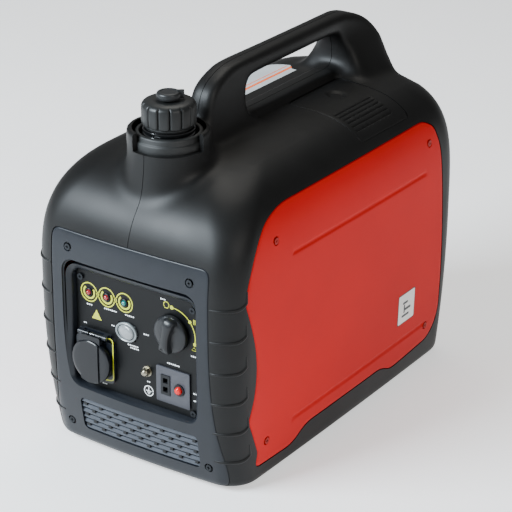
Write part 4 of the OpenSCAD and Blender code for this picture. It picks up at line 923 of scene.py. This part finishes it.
def case_shell():
    fx, fy = FILLER
    parts = [form(0), handle(), prism(rrect(0, 64, 30, 212, 8), "z", 340, 373),
             rod((fx, fy, TOP - 60), (fx, fy, TOP), BOSS_FOOT_R, BOSS_R, 96),
             rod((fx, fy, TOP - 1), (fx, fy, NECK_Z), BOSS_R, n=96)]
    ob = make("case_work", merge(*parts))
    m = ob.modifiers.new("skin", "REMESH")
    m.mode = "VOXEL"
    m.voxel_size = 0.0022
    evaluate(ob)
    soften(ob, lambda p: np.ones(len(p)), 6)
    soften(ob, junction, 70)
    wall_in = make("inner_form", form(WALL, True))
    carve(ob, wall_in)
    seat_in = make("seat_form", form(2 * WALL + GAP, True))
    pocket_in = make("pocket_form", form(WALL + GAP, True))
    band = make("seat_band", form(WALL - 0.01))
    carve(band, seat_in)
    cut_with(band, block(-W, W, -L, L, 23, 500), "INTERSECT")
    for line, way, lo, hi, _ in OUTLINES:
        seat = copy(band, "seat")
        cut_with(seat, prism(inset(line, -4), way, lo, hi), "INTERSECT")
        carve(ob, seat, "UNION")
    drop(band)
    for line, way, lo, hi, soft in OUTLINES:
        pocket = make("pocket", prism(inset(line, -GAP), way, lo, hi))
        carve(pocket, pocket_in, keep=True)
        carve(ob, pocket)
        if soft is None:
            (x0, y0), (x1, y1) = line.min(0) + LEDGE, line.max(0) - LEDGE
            soft = rrect((x0 + x1) / 2, (y0 + y1) / 2, x1 - x0, y1 - y0, 5)
        cut_with(ob, prism(soft, way, lo, hi))
    drop(pocket_in)
    cut_with(ob, rod((fx, fy, WELL_Z), (fx, fy, OVERALL), WELL_R, n=96))
    cut_with(ob, rod((fx, fy, TOP - 80), (fx, fy, 400), 31, n=64))
    cut_with(ob, rod((fx, fy, TOP - 61), (fx, fy, TOP), BOSS_FOOT_R - 4, BOSS_R - 4, 96))
    # the front and right of the boss are lower, so that the collar shows
    arc = [math.radians(a) for a in np.linspace(-112, 0, 40)]
    sector = [(fx + 39.5 * math.cos(a), fy + 39.5 * math.sin(a)) for a in reversed(arc)] + [
        (fx + 62 * math.cos(a), fy + 62 * math.sin(a)) for a in arc]
    cut_with(ob, prism(np.array(sector), "z", WELL_Z + 5, OVERALL))
    for s, name, node in ((-1, "case_left_shell", "case_left"), (1, "case_right_shell", "case_right")):
        half = copy(ob, name)
        cut = block(-0.35, 300, -400, 400, -20, 500) if s < 0 else block(-300, 0.35, -400, 400, -20, 500)
        cut_with(half, cut)
        dress(half, CASE, 38, "housing", (node,))
    drop(ob)


case_shell()


# ---------------------------------------------------------------- crescent ribs on the front corners
def corner_place(s, phi, z, out):
    hw, f, b, r = (float(v) for v in levels(z, 0))
    a = math.radians(phi)
    x, y = hw - r + (r + out) * math.cos(a), f + r + (r + out) * math.sin(a)
    m = (f + b) / 2
    v = (y - m) / (b - m)
    return (s * (x - SIDE_CROWN * x / hw * v * v), y - END_CROWN * (x / hw) ** 2 * v, z)


def crescents(s):
    geos = []
    for i in range(6):
        z0 = 42 + 38.5 * i
        path, radii = [], []
        for t in np.linspace(0, 1, 26):
            phi = -88 + 77 * min(1, t / 0.8) ** 0.9
            lift = 19 * max(0, (t - 0.5) / 0.5) ** 2.2
            path.append(corner_place(s, phi, z0 + lift, -1.0))
            radii.append(2.5 * (0.35 + 0.65 * math.sin(math.pi * min(1, max(0, 0.12 + 0.8 * t)))))
        geos.append(tube(path, radii, 10))
    return merge(*geos)


for s, side in ((-1, "left"), (1, "right")):
    make(f"crescents_{side}", crescents(s), CASE, 50, "housing")

# ---------------------------------------------------------------- side panels
PANEL_FEATS = [groove((-127, 268), (160, 265), 4.2, 1.5), groove((-120, 58), (168, 58), 4.2, 1.5)]
PANEL_FEATS += [well(p, 5.3, 2.0) for p in PANEL_SCREWS]
for s, name in ((-1, "side_panel_left"), (1, "side_panel_right")):
    ob = make(name + "_skin", cover(panel_line, on_side(s), PANEL_FEATS, 1.8))
    for p in PANEL_SCREWS:
        x = s * float(cast("x", np.array([p[0]]), np.array([p[1]]))[0])
        cut_with(ob, rod((x + s, p[0], p[1]), (x - s * 20, p[0], p[1]), SCREW_HOLE, n=24))
    if s < 0:
        pocket = make("grip_pocket", prism(rrect(*STARTER, 76, 40, 8), "x", -W / 2 - 5, -W / 2 + 20.2))
        cut_with(pocket, form(0.05), "INTERSECT")
        carve(ob, pocket, "UNION")
        cut_with(ob, prism(rrect(*STARTER, 70, 34, 6), "x", -W / 2 - 5, -W / 2 + 17))
        cut_with(ob, rod((-W / 2 - 5, *STARTER), (-W / 2 + 60, *STARTER), 3.5, n=24))
    dress(ob, RED, 34, "housing", (name,))

# ---------------------------------------------------------------- front fascia
front_feats = [well(p, 5.6, 2.2, 0.8) for p in FASCIA_SCREWS]
fascia = make("front_fascia_skin", cover(fascia_line, on_front, front_feats, 1.5, cell=4.5))
collar = make("plate_collar", prism(rrect(0, 161, 182, 156, 15), "y", PLATE_Y + 6, -300))
cut_with(collar, form(0.6), "INTERSECT")
carve(fascia, collar, "UNION")
steps = []
for t in np.linspace(0, 1, 9):
    k = t * t * (3 - 2 * t)
    y = -236.5 - 9.5 * t
    top, side, low = 232 + 14 * k, 86 + 7 * k, 86 - 3.5 * k
    steps.append([(px, y, pz) for px, pz in rrect(0, (top + low) / 2, 2 * side, top - low, 12 + 4 * k, 12)])
steps.insert(0, [(x, PLATE_Y + 2, z) for x, y, z in steps[0]])
steps.append([(x * 1.02, -262, z) for x, y, z in steps[-1]])
cut_with(fascia, loft(steps))
cut_with(fascia, prism(rrect(0, 159, 166, 140, 12), "y", PLATE_Y - 4, -200))
VX0, VX1, VZ0, VZ1 = -79.0, 87.0, 25.5, 69.5
cut_with(fascia, prism(rrect((VX0 + VX1) / 2, (VZ0 + VZ1) / 2, VX1 - VX0, VZ1 - VZ0, 7), "y", -260, -180))
drill(fascia, FASCIA_SCREWS, -260, -190)
dress(fascia, FASCIA, 34, "housing", ("front_fascia",))


def strip(z, high, deep, out, lean, x0=VX0 - 1.5, x1=VX1 + 1.5, n=28):
    """A slat that follows the front, leaning back towards its top."""
    xs = np.linspace(x0, x1, n)
    y = -cast("-y", xs, np.full(n, z)) + out
    rings = []
    for x, yy in zip(xs, y):
        rings.append([(x, yy + lean * v + u * deep, z + v * high - u * 1.0)
                      for u, v in ((0.12, 0), (0, 0.14), (0, 0.86), (0.12, 1), (1, 1), (1, 0))])
    return loft(rings)


# the slats wear the lighter copy of the fascia plastic as painted light
make("vent_slats", merge(*[strip(26.5 + 7.3 * i, 4.7, 5.0, 1.3, 1.2) for i in range(6)]), SLAT_PAINTED_LIGHT, 25, "housing")
ribs = []
for row in range(5):
    for i in range(8):
        x = -73 + 22 * i + 11 * (row % 2)
        z = 26.5 + 7.3 * row + 6.2
        if x < VX1 - 4:
            y = -float(cast("-y", np.array([x]), np.array([z]))[0])
            ribs.append(((x, y + 2.9, z), (0, 0, 0), (1, 1, 1)))
scatter("vent_ribs", block(-2.2, 2.2, -1.6, 1.6, -2.5, 1.4), ribs, DARK)
# a dark closed sheet a little behind the slats: painted shade that stands for the shadow inside the vent
shade_sheet_xs = np.stack([np.linspace(VX0 - 3, VX1 + 3, 20), np.zeros(20)], 1)
rings = []
for x, _ in shade_sheet_xs:
    zs = np.array([VZ0 - 3, VZ1 + 3])
    y = -cast("-y", np.full(2, x), zs) + 8.5
    rings.append([(x, y[0], zs[0]), (x, y[1], zs[1]), (x, y[1] + 1.2, zs[1]), (x, y[0] + 1.2, zs[0])])
make("vent_screen", loft(rings), DARK, 30, "housing")

# ---------------------------------------------------------------- rear cover
rear = make("rear_cover_skin", cover(rear_line, on_rear, [well(p, 5.6, 2.2, 0.8) for p in REAR_SCREWS], 1.5))
slots, hoods = [], []
for row in range(9):
    for i in range(5):
        z, x = 66 + 13 * row, -78 + 32 * i
        if math.hypot(x + 13 - EXHAUST[0], z - EXHAUST[1]) > 37:
            slots.append(prism(rrect(x + 13, z, 31, 5.2, 2.5, 4), "y", 150, 270))
            y = float(cast("y", np.array([x + 13.0]), np.array([float(z)]))[0])
            hoods.append(((x + 13, y - 0.6, z + 2.6), (0, 0, 0), (1, 1, 1)))
cut_with(rear, merge(*slots))
cut_with(rear, rod((EXHAUST[0], 150, EXHAUST[1]), (EXHAUST[0], 270, EXHAUST[1]), 20, n=64))
drill(rear, REAR_SCREWS, 260, 200)
dress(rear, REAR, 34, "housing", ("rear_cover",))
scatter("rear_louvres", merge(ball((0, 0, 0), 15, 1.6, 1.4, 20, 8)), hoods, REAR)

# ---------------------------------------------------------------- spark plug cover
plug_feats = [well((46, 103), 12.5, 2.3, 5.0)]
plug_feats += [groove((79 + 6 * i, 51), (79 + 6 * i, 126), 1.5, 0.9, 5.0) for i in range(6)]
make("spark_plug_cover_skin", cover(plug_line, on_top, plug_feats, 1.0), CASE_COVER, 34, "plug_cover",
     ("spark_plug_cover",))

# ---------------------------------------------------------------- filler
fx, fy = FILLER
CAP_Z = 398.0


def fluted():
    """The cap: flutes round its side, soft edges and a dished top."""
    prof = [(26.6, 0), (27.3, 0.1), (27.8, 0.7), (27.8, 2.0), (27.2, 2.7), (27.2, 3.5), (28.2, 3.9),
            (29.0, 4.6), (29.2, 6), (29.2, 24), (28.7, 26.4), (27.3, 28.2), (25.2, 29.4),
            (20, 30.2), (17, 30.3), (15, 29.6), (6, 29.5)]
    rings, n = [], 280
    for r, t in prof:
        k = min(1.0, max(0.0, (29 - t) / 4)) if r > 24 and t > 3.8 else 0.0
        ring = []
        for i in range(n):
            a = math.tau * i / n
            out = r + k * (1.25 - 2.6 * (1 - abs(math.sin(7 * a))) ** 5)
            ring.append((fx + out * math.cos(a), fy + out * math.sin(a), CAP_Z + t))
        rings.append(ring)
    return loft(rings)


cap = make("fuel_cap_shell", fluted())
cut_with(cap, rod((fx, fy, CAP_Z - 2), (fx, fy, CAP_Z + 26), 26.5, n=72))
cut_with(cap, rod((fx, fy, CAP_Z + 20), (fx, fy, CAP_Z + 40), 5.1, n=40))
cut_with(cap, rod((fx, fy, CAP_Z + 8), (fx, fy, CAP_Z + 27), 8.1, n=40))
dress(cap, CAP, 40, "cap", ("fuel_cap",))
vent = merge(lathe([(0.5, 0.3), (12.6, 0.3), (13.3, 0.8), (13.5, 1.8), (13.5, 5.6), (13.1, 6.9), (12.2, 7.8),
                    (11, 8.2), (9.4, 8.3), (8.8, 7.8), (0.5, 7.7)], (fx, fy, CAP_Z + 31)),
             rod((fx, fy, CAP_Z + 27), (fx, fy, CAP_Z + 31.4), 5))
make("vent_knob_disc", vent, VENT, 34, "vent", ("vent_knob",))
tab = prism(rrect(13.2, 0, 8, 4, 1.6), "z", 0, 9)
ca, sa = math.cos(math.radians(40)), math.sin(math.radians(40))
tab = ([(fx + x * ca - y * sa, fy + x * sa + y * ca, CAP_Z + 31.5 + z) for x, y, z in tab[0]], tab[1])
make("vent_tab", tab, VENT, 30, "vent")
collar_prof = [(33, 0), (40.3, 0), (40.5, 1), (40.5, 12.6), (40, 13.8), (38.6, 14.6), (38.2, 15.4),
               (38.2, 19.2), (37.6, 20.6), (36.2, 21.5), (34, 21.6), (33, 20.8)]
make("collar_ring", lathe(collar_prof, (fx, fy, WELL_Z), hollow=True), COLLAR, 40, "housing",
     ("neck_collar",))
neck_prof = [(22.5, 332), (32, 332), (32, 335), (28, 335.4), (28, 388), (29.4, 389), (29.9, 390.2),
             (29.4, 391.4), (28.3, 392.2), (28.3, 393), (29.4, 394), (29.5, 396.2),
             (28.8, NECK_Z), (23.2, NECK_Z), (22.5, 396.4)]
make("filler_neck_pipe", lathe(neck_prof, (fx, fy, 0), n=96, hollow=True), NECK, 40, "housing",
     ("filler_neck",))


# ---------------------------------------------------------------- control panel prints
INK_Y = PLATE_Y - 0.02


def ring2(cx, cz, r0, r1, n=48):
    return lathe([(r0, 0), (r1, 0), (r1, 0.14), (r0, 0.14)], (cx, INK_Y, cz), "y", n, True)


def arc2(cx, cz, r, a0, a1, w, y=INK_Y):
    a = np.radians(np.linspace(a0, a1, 30))
    return ribbon([(cx + r * math.cos(t), cz + r * math.sin(t)) for t in a], w, y)


def ribbon(pts, w, y=INK_Y):
    """A printed line of width w through places on the panel."""
    p = np.array(pts, float)
    d = np.gradient(p, axis=0)
    d /= np.linalg.norm(d, axis=1)[:, None] + 1e-9
    v = np.stack([-d[:, 1], d[:, 0]], 1) * w / 2
    line = np.vstack([p + v, (p - v)[::-1]])
    return prism(line, "y", y, y - 0.14)


def dot2(cx, cz, r, y=INK_Y):
    return prism(rrect(cx, cz, 2 * r, 2 * r, r * 0.98, 8), "y", y, y - 0.15)


def dash2(cx, cz, w, h=1.5, y=INK_Y):
    return prism(rrect(cx, cz, w, h, min(w, h) * 0.3, 3), "y", y, y - 0.14)


LEDS = [(-67, 203), (-42, 203), (-17, 203)]
yellow = []
for x, z in LEDS:
    yellow += [ring2(x, z, 10.6, 12.0), arc2(x, z, 7.4, 130, 395, 2.3)]
for x in (-54.5, -29.5):
    yellow += [dash2(x, 205.2, 4.4, 1.3), dash2(x, 200.8, 4.4, 1.3)]
yellow.append(prism(np.array([(-64, 171.5), (-50, 171.5), (-57, 183.5)]), "y", INK_Y, INK_Y - 0.14))
yellow += [arc2(50, 185, 30.5, -12, 92, 1.1)]
yellow += [dot2(x, z, r) for x, z, r in ((48.9, 215.5, 2.4), (73.4, 204.6, 2.2), (79.8, 178.7, 2.2))]
yellow += [arc2(41.5, 217, 3.6, -50, 230, 0.9), dash2(41.5, 213.2, 5, 0.9), dash2(78.5, 206, 1, 6),
           dash2(80.4, 206, 1, 6), ribbon([(75.6, 171), (79, 175), (82.4, 171), (75.6, 171)], 0.8)]
make("prints_yellow", merge(*yellow), YELLOW, 30, "housing")
# the earth sign
white = [arc2(15, 102, 6.1, 0, 350, 1.0), dash2(15, 104.6, 0.9, 4.4)]
white += [dash2(15, z, w, 0.9) for z, w in ((102, 7.4), (100.2, 4.6), (98.5, 2.2))]
# captions that spell nothing: middle, how many strokes, their width
CAPTIONS = (
    (-67, 187.6, 3, 2.0), (-37, 188.6, 7, 1.9), (-10, 188.6, 5, 1.9), (13, 172, 3, 1.9), (-34, 170, 2, 1.7),
    (-6, 152.6, 6, 1.8), (-4, 149.6, 5, 1.8), (37, 222.5, 3, 1.8), (79, 163.5, 4, 1.7), (50, 145.5, 7, 1.8),
    (-74, 163, 2, 1.8), (15, 113.5, 2, 1.7), (-48, 92.5, 3, 1.7), (81, 117.5, 3, 2.0), (81, 108.5, 2, 3.2))
for cx, cz, n, w in CAPTIONS:
    for i in range(n):
        white.append(dash2(cx + (i - (n - 1) / 2) * (w + 0.75), cz, w, 1.5 + 0.5 * ((i * 5 + n) % 3 == 0)))
make("prints_white", merge(*white), PALE, 30, "housing")
bracket = [(-46.9, 154.2), (-35.4, 154.2), (-32.8, 153), (-31.9, 150.5), (-31.9, 106), (-32.9, 103),
           (-35.4, 101.4), (-44.9, 100)]
make("socket_line", ribbon(bracket, 1.5, PLATE_Y - 4.02), YELLOW, 30, "housing")
bezel = [(3.6, 0), (5.0, 0), (5.2, 0.5), (5.0, 1.3), (4.4, 1.7), (3.6, 1.2)]
make("led_bezels", merge(*[lathe(bezel, (x, PLATE_Y, z), "y", 40, True) for x, z in LEDS]), DARK, 40,
     "housing")
dome = [(0.3, -7), (3.2, -7), (3.2, 0.4), (3.0, 1.5), (2.4, 2.6), (1.4, 3.3), (0.3, 3.6)]
for i, ((x, z), glass) in enumerate(zip(LEDS, (LED_RED, LED_RED, LED_GREEN))):
    lamp_ob = make(f"led_{i}", lathe(dome, (x, PLATE_Y, z), "y", 32), glass, 50)
    if i == 0:
        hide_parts("led_lamps")
    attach(lamp_ob, "housing")

# ---------------------------------------------------------------- rocker key and its frame
RX, RZ = -14.0, 168.0


def oval(w, h, out):
    """A ring w by h about the rocker's middle, out in front of the plate."""
    turns = np.linspace(0, math.tau, 56, endpoint=False)
    return [(RX + w * math.cos(a), PLATE_Y - out, RZ + h * math.sin(a)) for a in turns]


bezel_rings = [oval(*v) for v in ((12.0, 9.4, -9), (14.4, 11.4, -9), (14.6, 11.6, 0.6), (15.0, 12.0, 1.4),
                                  (14.6, 11.6, 2.8), (13.6, 10.7, 3.3), (12.4, 9.6, 2.6))]
make("rocker_bezel", loft(bezel_rings, True), KEY_RIM, 45, "housing", ("rocker_frame",))
key = [oval(11.4, 8.9, -5), oval(11.6, 9.0, 2.2)]
for k in np.linspace(0.15, 0.96, 9):
    c = math.sqrt(1 - k * k)
    key.append(oval(11.6 * c, 9.0 * c, 2.2 + 3.6 * k))
key = loft(key)
ca, sa = math.cos(math.radians(-8)), math.sin(math.radians(-8))
ROCK_Y = -232.0
key = ([(RX + (x - RX) * ca - (y - ROCK_Y) * sa, ROCK_Y + (x - RX) * sa + (y - ROCK_Y) * ca, z)
        for x, y, z in key[0]], key[1])
make("rocker_key", key, KEY, 50, "switch_key", ("rocker",))

# ---------------------------------------------------------------- flip cover of the mains socket
AX, AZ, AY = -58.0, 123.0, PLATE_Y - 7.2
HINGE = (AX, -238.0, 154.5)
disc = lathe([(0.5, 0), (26.2, 0), (27, 0.7), (27, 4.3), (26.5, 5.4), (25.2, 6.1), (22, 6.5), (0.5, 6.9)],
             (AX, AY, AZ), "y", 96)
flip = make("flip_cover", disc)
raised = make("raised_band", prism(rrect(AX, AZ, 25, 60, 4), "y", AY - 0.8, AY - 9.2))
lid = [(0.5, 0), (26.4, 0), (26.4, 7.5), (25.6, 8.2), (0.5, 8.6)]
cut_with(raised, lathe(lid, (AX, AY, AZ), "y", 96), "INTERSECT")
carve(flip, raised, "UNION")
cut_with(flip, rod((AX, AY + 1, AZ), (AX, AY - 2.6, AZ), 24, n=72))
cut_with(flip, prism(rrect(AX, AZ + 23.5, 27, 17, 2), "y", AY - 0.2, AY - 5.4), "UNION")
cut_with(flip, rod((AX - 13.5, HINGE[1], HINGE[2]), (AX + 13.5, HINGE[1], HINGE[2]), 3.2, n=40), "UNION")
cut_with(flip, rod((AX - 30, HINGE[1], HINGE[2]), (AX + 30, HINGE[1], HINGE[2]), 1.55, n=32))
cut_with(flip, block(AX - 5, AX + 5, HINGE[1] - 4.5, HINGE[1] + 4.5, HINGE[2] - 4.5, HINGE[2] + 4.5))
dress(flip, FLIP, 34, "socket_cover", ("ac_cover",))

# ---------------------------------------------------------------- engine knob
KX, KZ = 50.0, 185.0
skirt = [(4.1, 0), (21.2, 0), (22, 0.7), (22, 4.4), (21.4, 5.4), (20, 6.1), (17.4, 7.3), (10, 8.4),
         (4.1, 8.7)]
knob = make("knob_body", lathe(skirt, (0, 0, 0), "y", 96, True))
bar_rings = []
for t in np.linspace(-1, 1, 29):
    z = 21.2 * t
    w = 5.2 + 2.6 * abs(t) ** 1.5
    w = min(w, 0.6 + math.sqrt(max(0.0, 21.6 ** 2 - z * z)))
    hgt = 16.6 - 5.0 * abs(t) ** 5
    bar_rings.append([(w * cx, -y, z) for cx, y in (
        (-1.0, 3.0), (1.0, 3.0), (0.96, hgt - 2.6), (0.82, hgt - 1.0),
        (0.5, hgt), (-0.5, hgt), (-0.82, hgt - 1.0), (-0.96, hgt - 2.6))])
cut_with(knob, loft(bar_rings), "UNION")
cut_with(knob, rod((0, 1, 0), (0, -8.0, 0), 4.0, n=48))
cut_with(knob, rod((0, -14.6, -15.5), (0, -30, -15.5), 2.2, n=32))
round_edges(knob, 0.6, angle=40)
knob.data.transform(Matrix.Translation((KX * MM, (PLATE_Y - 1.2) * MM, KZ * MM))
                    @ Matrix.Rotation(math.radians(11), 4, "Y"))
dress(knob, KNOB, 36, "knob", ("engine_knob",))

# ---------------------------------------------------------------- small plate
dcp = make("dc_plate_face", prism(rrect(50.5, 118, 46, 44, 1.5, 6), "y", PLATE_Y, PLATE_Y - 2.2))
cut_with(dcp, prism(rrect(40.5, 118, 13, 25, 1.0, 4), "y", PLATE_Y + 3, PLATE_Y - 6))
cut_with(dcp, rod((59.5, PLATE_Y + 3, 117), (59.5, PLATE_Y - 6, 117), 7.1, n=48))
round_edges(dcp, 0.5)
dress(dcp, DC, 36, "housing", ("dc_plate",))
btn = lathe([(0.3, -8), (4.4, -8), (4.5, -7.5), (4.5, 4.9), (4.1, 6.0), (3.2, 6.9), (1.8, 7.5), (0.3, 7.7)],
            (59.5, PLATE_Y, 117), "y", 48)
make("breaker_cap", btn, BUTTON, 50, "button", ("breaker_button",))

# ---------------------------------------------------------------- labels
def patch(name, outline, surf, mat, up=0.15, cell=6.0):
    """A thin label that lies on the form."""
    geo = cover(outline, lambda p, h: surf(p, h - up), (), 0.06, 0.13, cell, 2.5)
    return make(name, geo, mat, 40, "housing")


patch("label_edge", rrect(124, 101, 40, 41, 1.5), on_side(1), DARK_INK)
patch("label_face", rrect(124, 101, 37.6, 38.6, 1), on_side(1), LABEL, 0.24)
MARKS = ((121, 108, 13, 3), (127, 99, 15, 3.5), (122, 91, 18, 3), (119, 100, 3, 12))
for i, (y, z, w, h) in enumerate(MARKS):
    patch(f"label_mark_{i}", rrect(y, z, w, h, 1), on_side(1), GREY_INK, 0.33, 3.0)
patch("shoulder_label", rrect(-66, 66, 52, 190, 4), on_top, SILVER)
patch("shoulder_stripe", rrect(-52, 66, 4.5, 184, 1), on_top, ORANGE, 0.26)
patch("shoulder_line", rrect(-60, 66, 1.6, 184, 0.5), on_top, ORANGE, 0.26)

# ---------------------------------------------------------------- handle details
make("handle_plug", rod((15.6, 170, 424), (13.4, 170, 424), 3.6, n=32), DARK, 40, "housing")

# ---------------------------------------------------------------- starter rope and grip
rope_path = [(x, *STARTER) for x in np.linspace(-127.5, 8, 90)]
rope = make("starter_cord", tube(rope_path, 2.0, 12), ROPE, 60, nodes=("starter_rope",))
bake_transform(rope)
gx = -W / 2 + 2.5
grip = make("grip_body", prism(rrect(*STARTER, 62, 16.5, 7, 10), "x", gx, gx + 9))
round_edges(grip, 2, 4, 50)
cut_with(grip, rod((gx + 7, *STARTER), (gx + 14, *STARTER), 8, 6, 40), "UNION")
cut_with(grip, rod((gx + 8, *STARTER), (gx + 60, *STARTER), 2.0, n=32))
dress(grip, GRIP, 40, "grip", ("starter_grip",))

# ---------------------------------------------------------------- stage, light and camera
me = bpy.data.meshes.new("floor")
me.from_pydata([(-6, -6, -0.0004), (6, -6, -0.0004), (6, 6, -0.0004), (-6, 6, -0.0004)], [], [(0, 1, 2, 3)])
floor = bpy.data.objects.new("floor", me)
scene.collection.objects.link(floor)
g = Graph("floor_paper")
paper = g.mix(g.span(g.noise(3.0), 0.0, 1.0), (0.66, 0.66, 0.66), (0.7, 0.7, 0.7))
me.materials.append(g.put(Base_Color=paper, Roughness=0.9, Emission_Color=(1.0, 1.0, 1.0, 1.0),
                          Emission_Strength=0.8))

world = bpy.data.worlds.new("studio")
scene.world = world
world.use_nodes = True
world.node_tree.nodes["Background"].inputs["Color"].default_value = (1.0, 1.0, 1.0, 1.0)
world.node_tree.nodes["Background"].inputs["Strength"].default_value = 0.2


def area(name, at, to, size, power, colour=(1, 1, 1)):
    lt = bpy.data.lights.new(name, "AREA")
    lt.shape = "RECTANGLE"
    lt.size, lt.size_y = size
    lt.energy = power
    lt.color = colour
    ob = bpy.data.objects.new(name, lt)
    ob.location = at
    ob.rotation_euler = (Vector(to) - Vector(at)).to_track_quat("-Z", "Y").to_euler()
    scene.collection.objects.link(ob)


area("key", (-1.1, -2.0, 1.7), (0, -0.1, 0.2), (1.5, 1.1), 260.0, (0.82, 0.92, 1.0))
area("fill", (2.0, -0.8, 1.4), (0, 0, 0.2), (1.0, 1.0), 21.0, (1.0, 0.97, 0.92))
area("top", (-0.4, 0.6, 2.0), (0, 0, 0.3), (0.9, 1.2), 16.0, (1.0, 0.97, 0.9))

cam = bpy.data.cameras.new("camera")
cam.sensor_width = 36.0
cam.lens = 144.4852
cam_ob = bpy.data.objects.new("camera", cam)
scene.collection.objects.link(cam_ob)
# turn about the object, height above it and roll, in degrees, and the place in metres
VIEW_ANGLES = (34.37913, 24.44132, 0.22861)
VIEW_FROM = (1.26812, -1.84998, 1.19809)
az, el, roll = (math.radians(v) for v in VIEW_ANGLES)
back = Vector((math.sin(az) * math.cos(el), -math.cos(az) * math.cos(el), math.sin(el)))
right = (-back).cross(Vector((0, 0, 1))).normalized()
up = right.cross(-back)
r2 = right * math.cos(roll) + up * math.sin(roll)
u2 = up * math.cos(roll) - right * math.sin(roll)
cam_ob.matrix_world = Matrix.Translation(VIEW_FROM) @ Matrix(
    ((r2.x, u2.x, back.x, 0), (r2.y, u2.y, back.y, 0), (r2.z, u2.z, back.z, 0), (0, 0, 0, 1)))
scene.camera = cam_ob
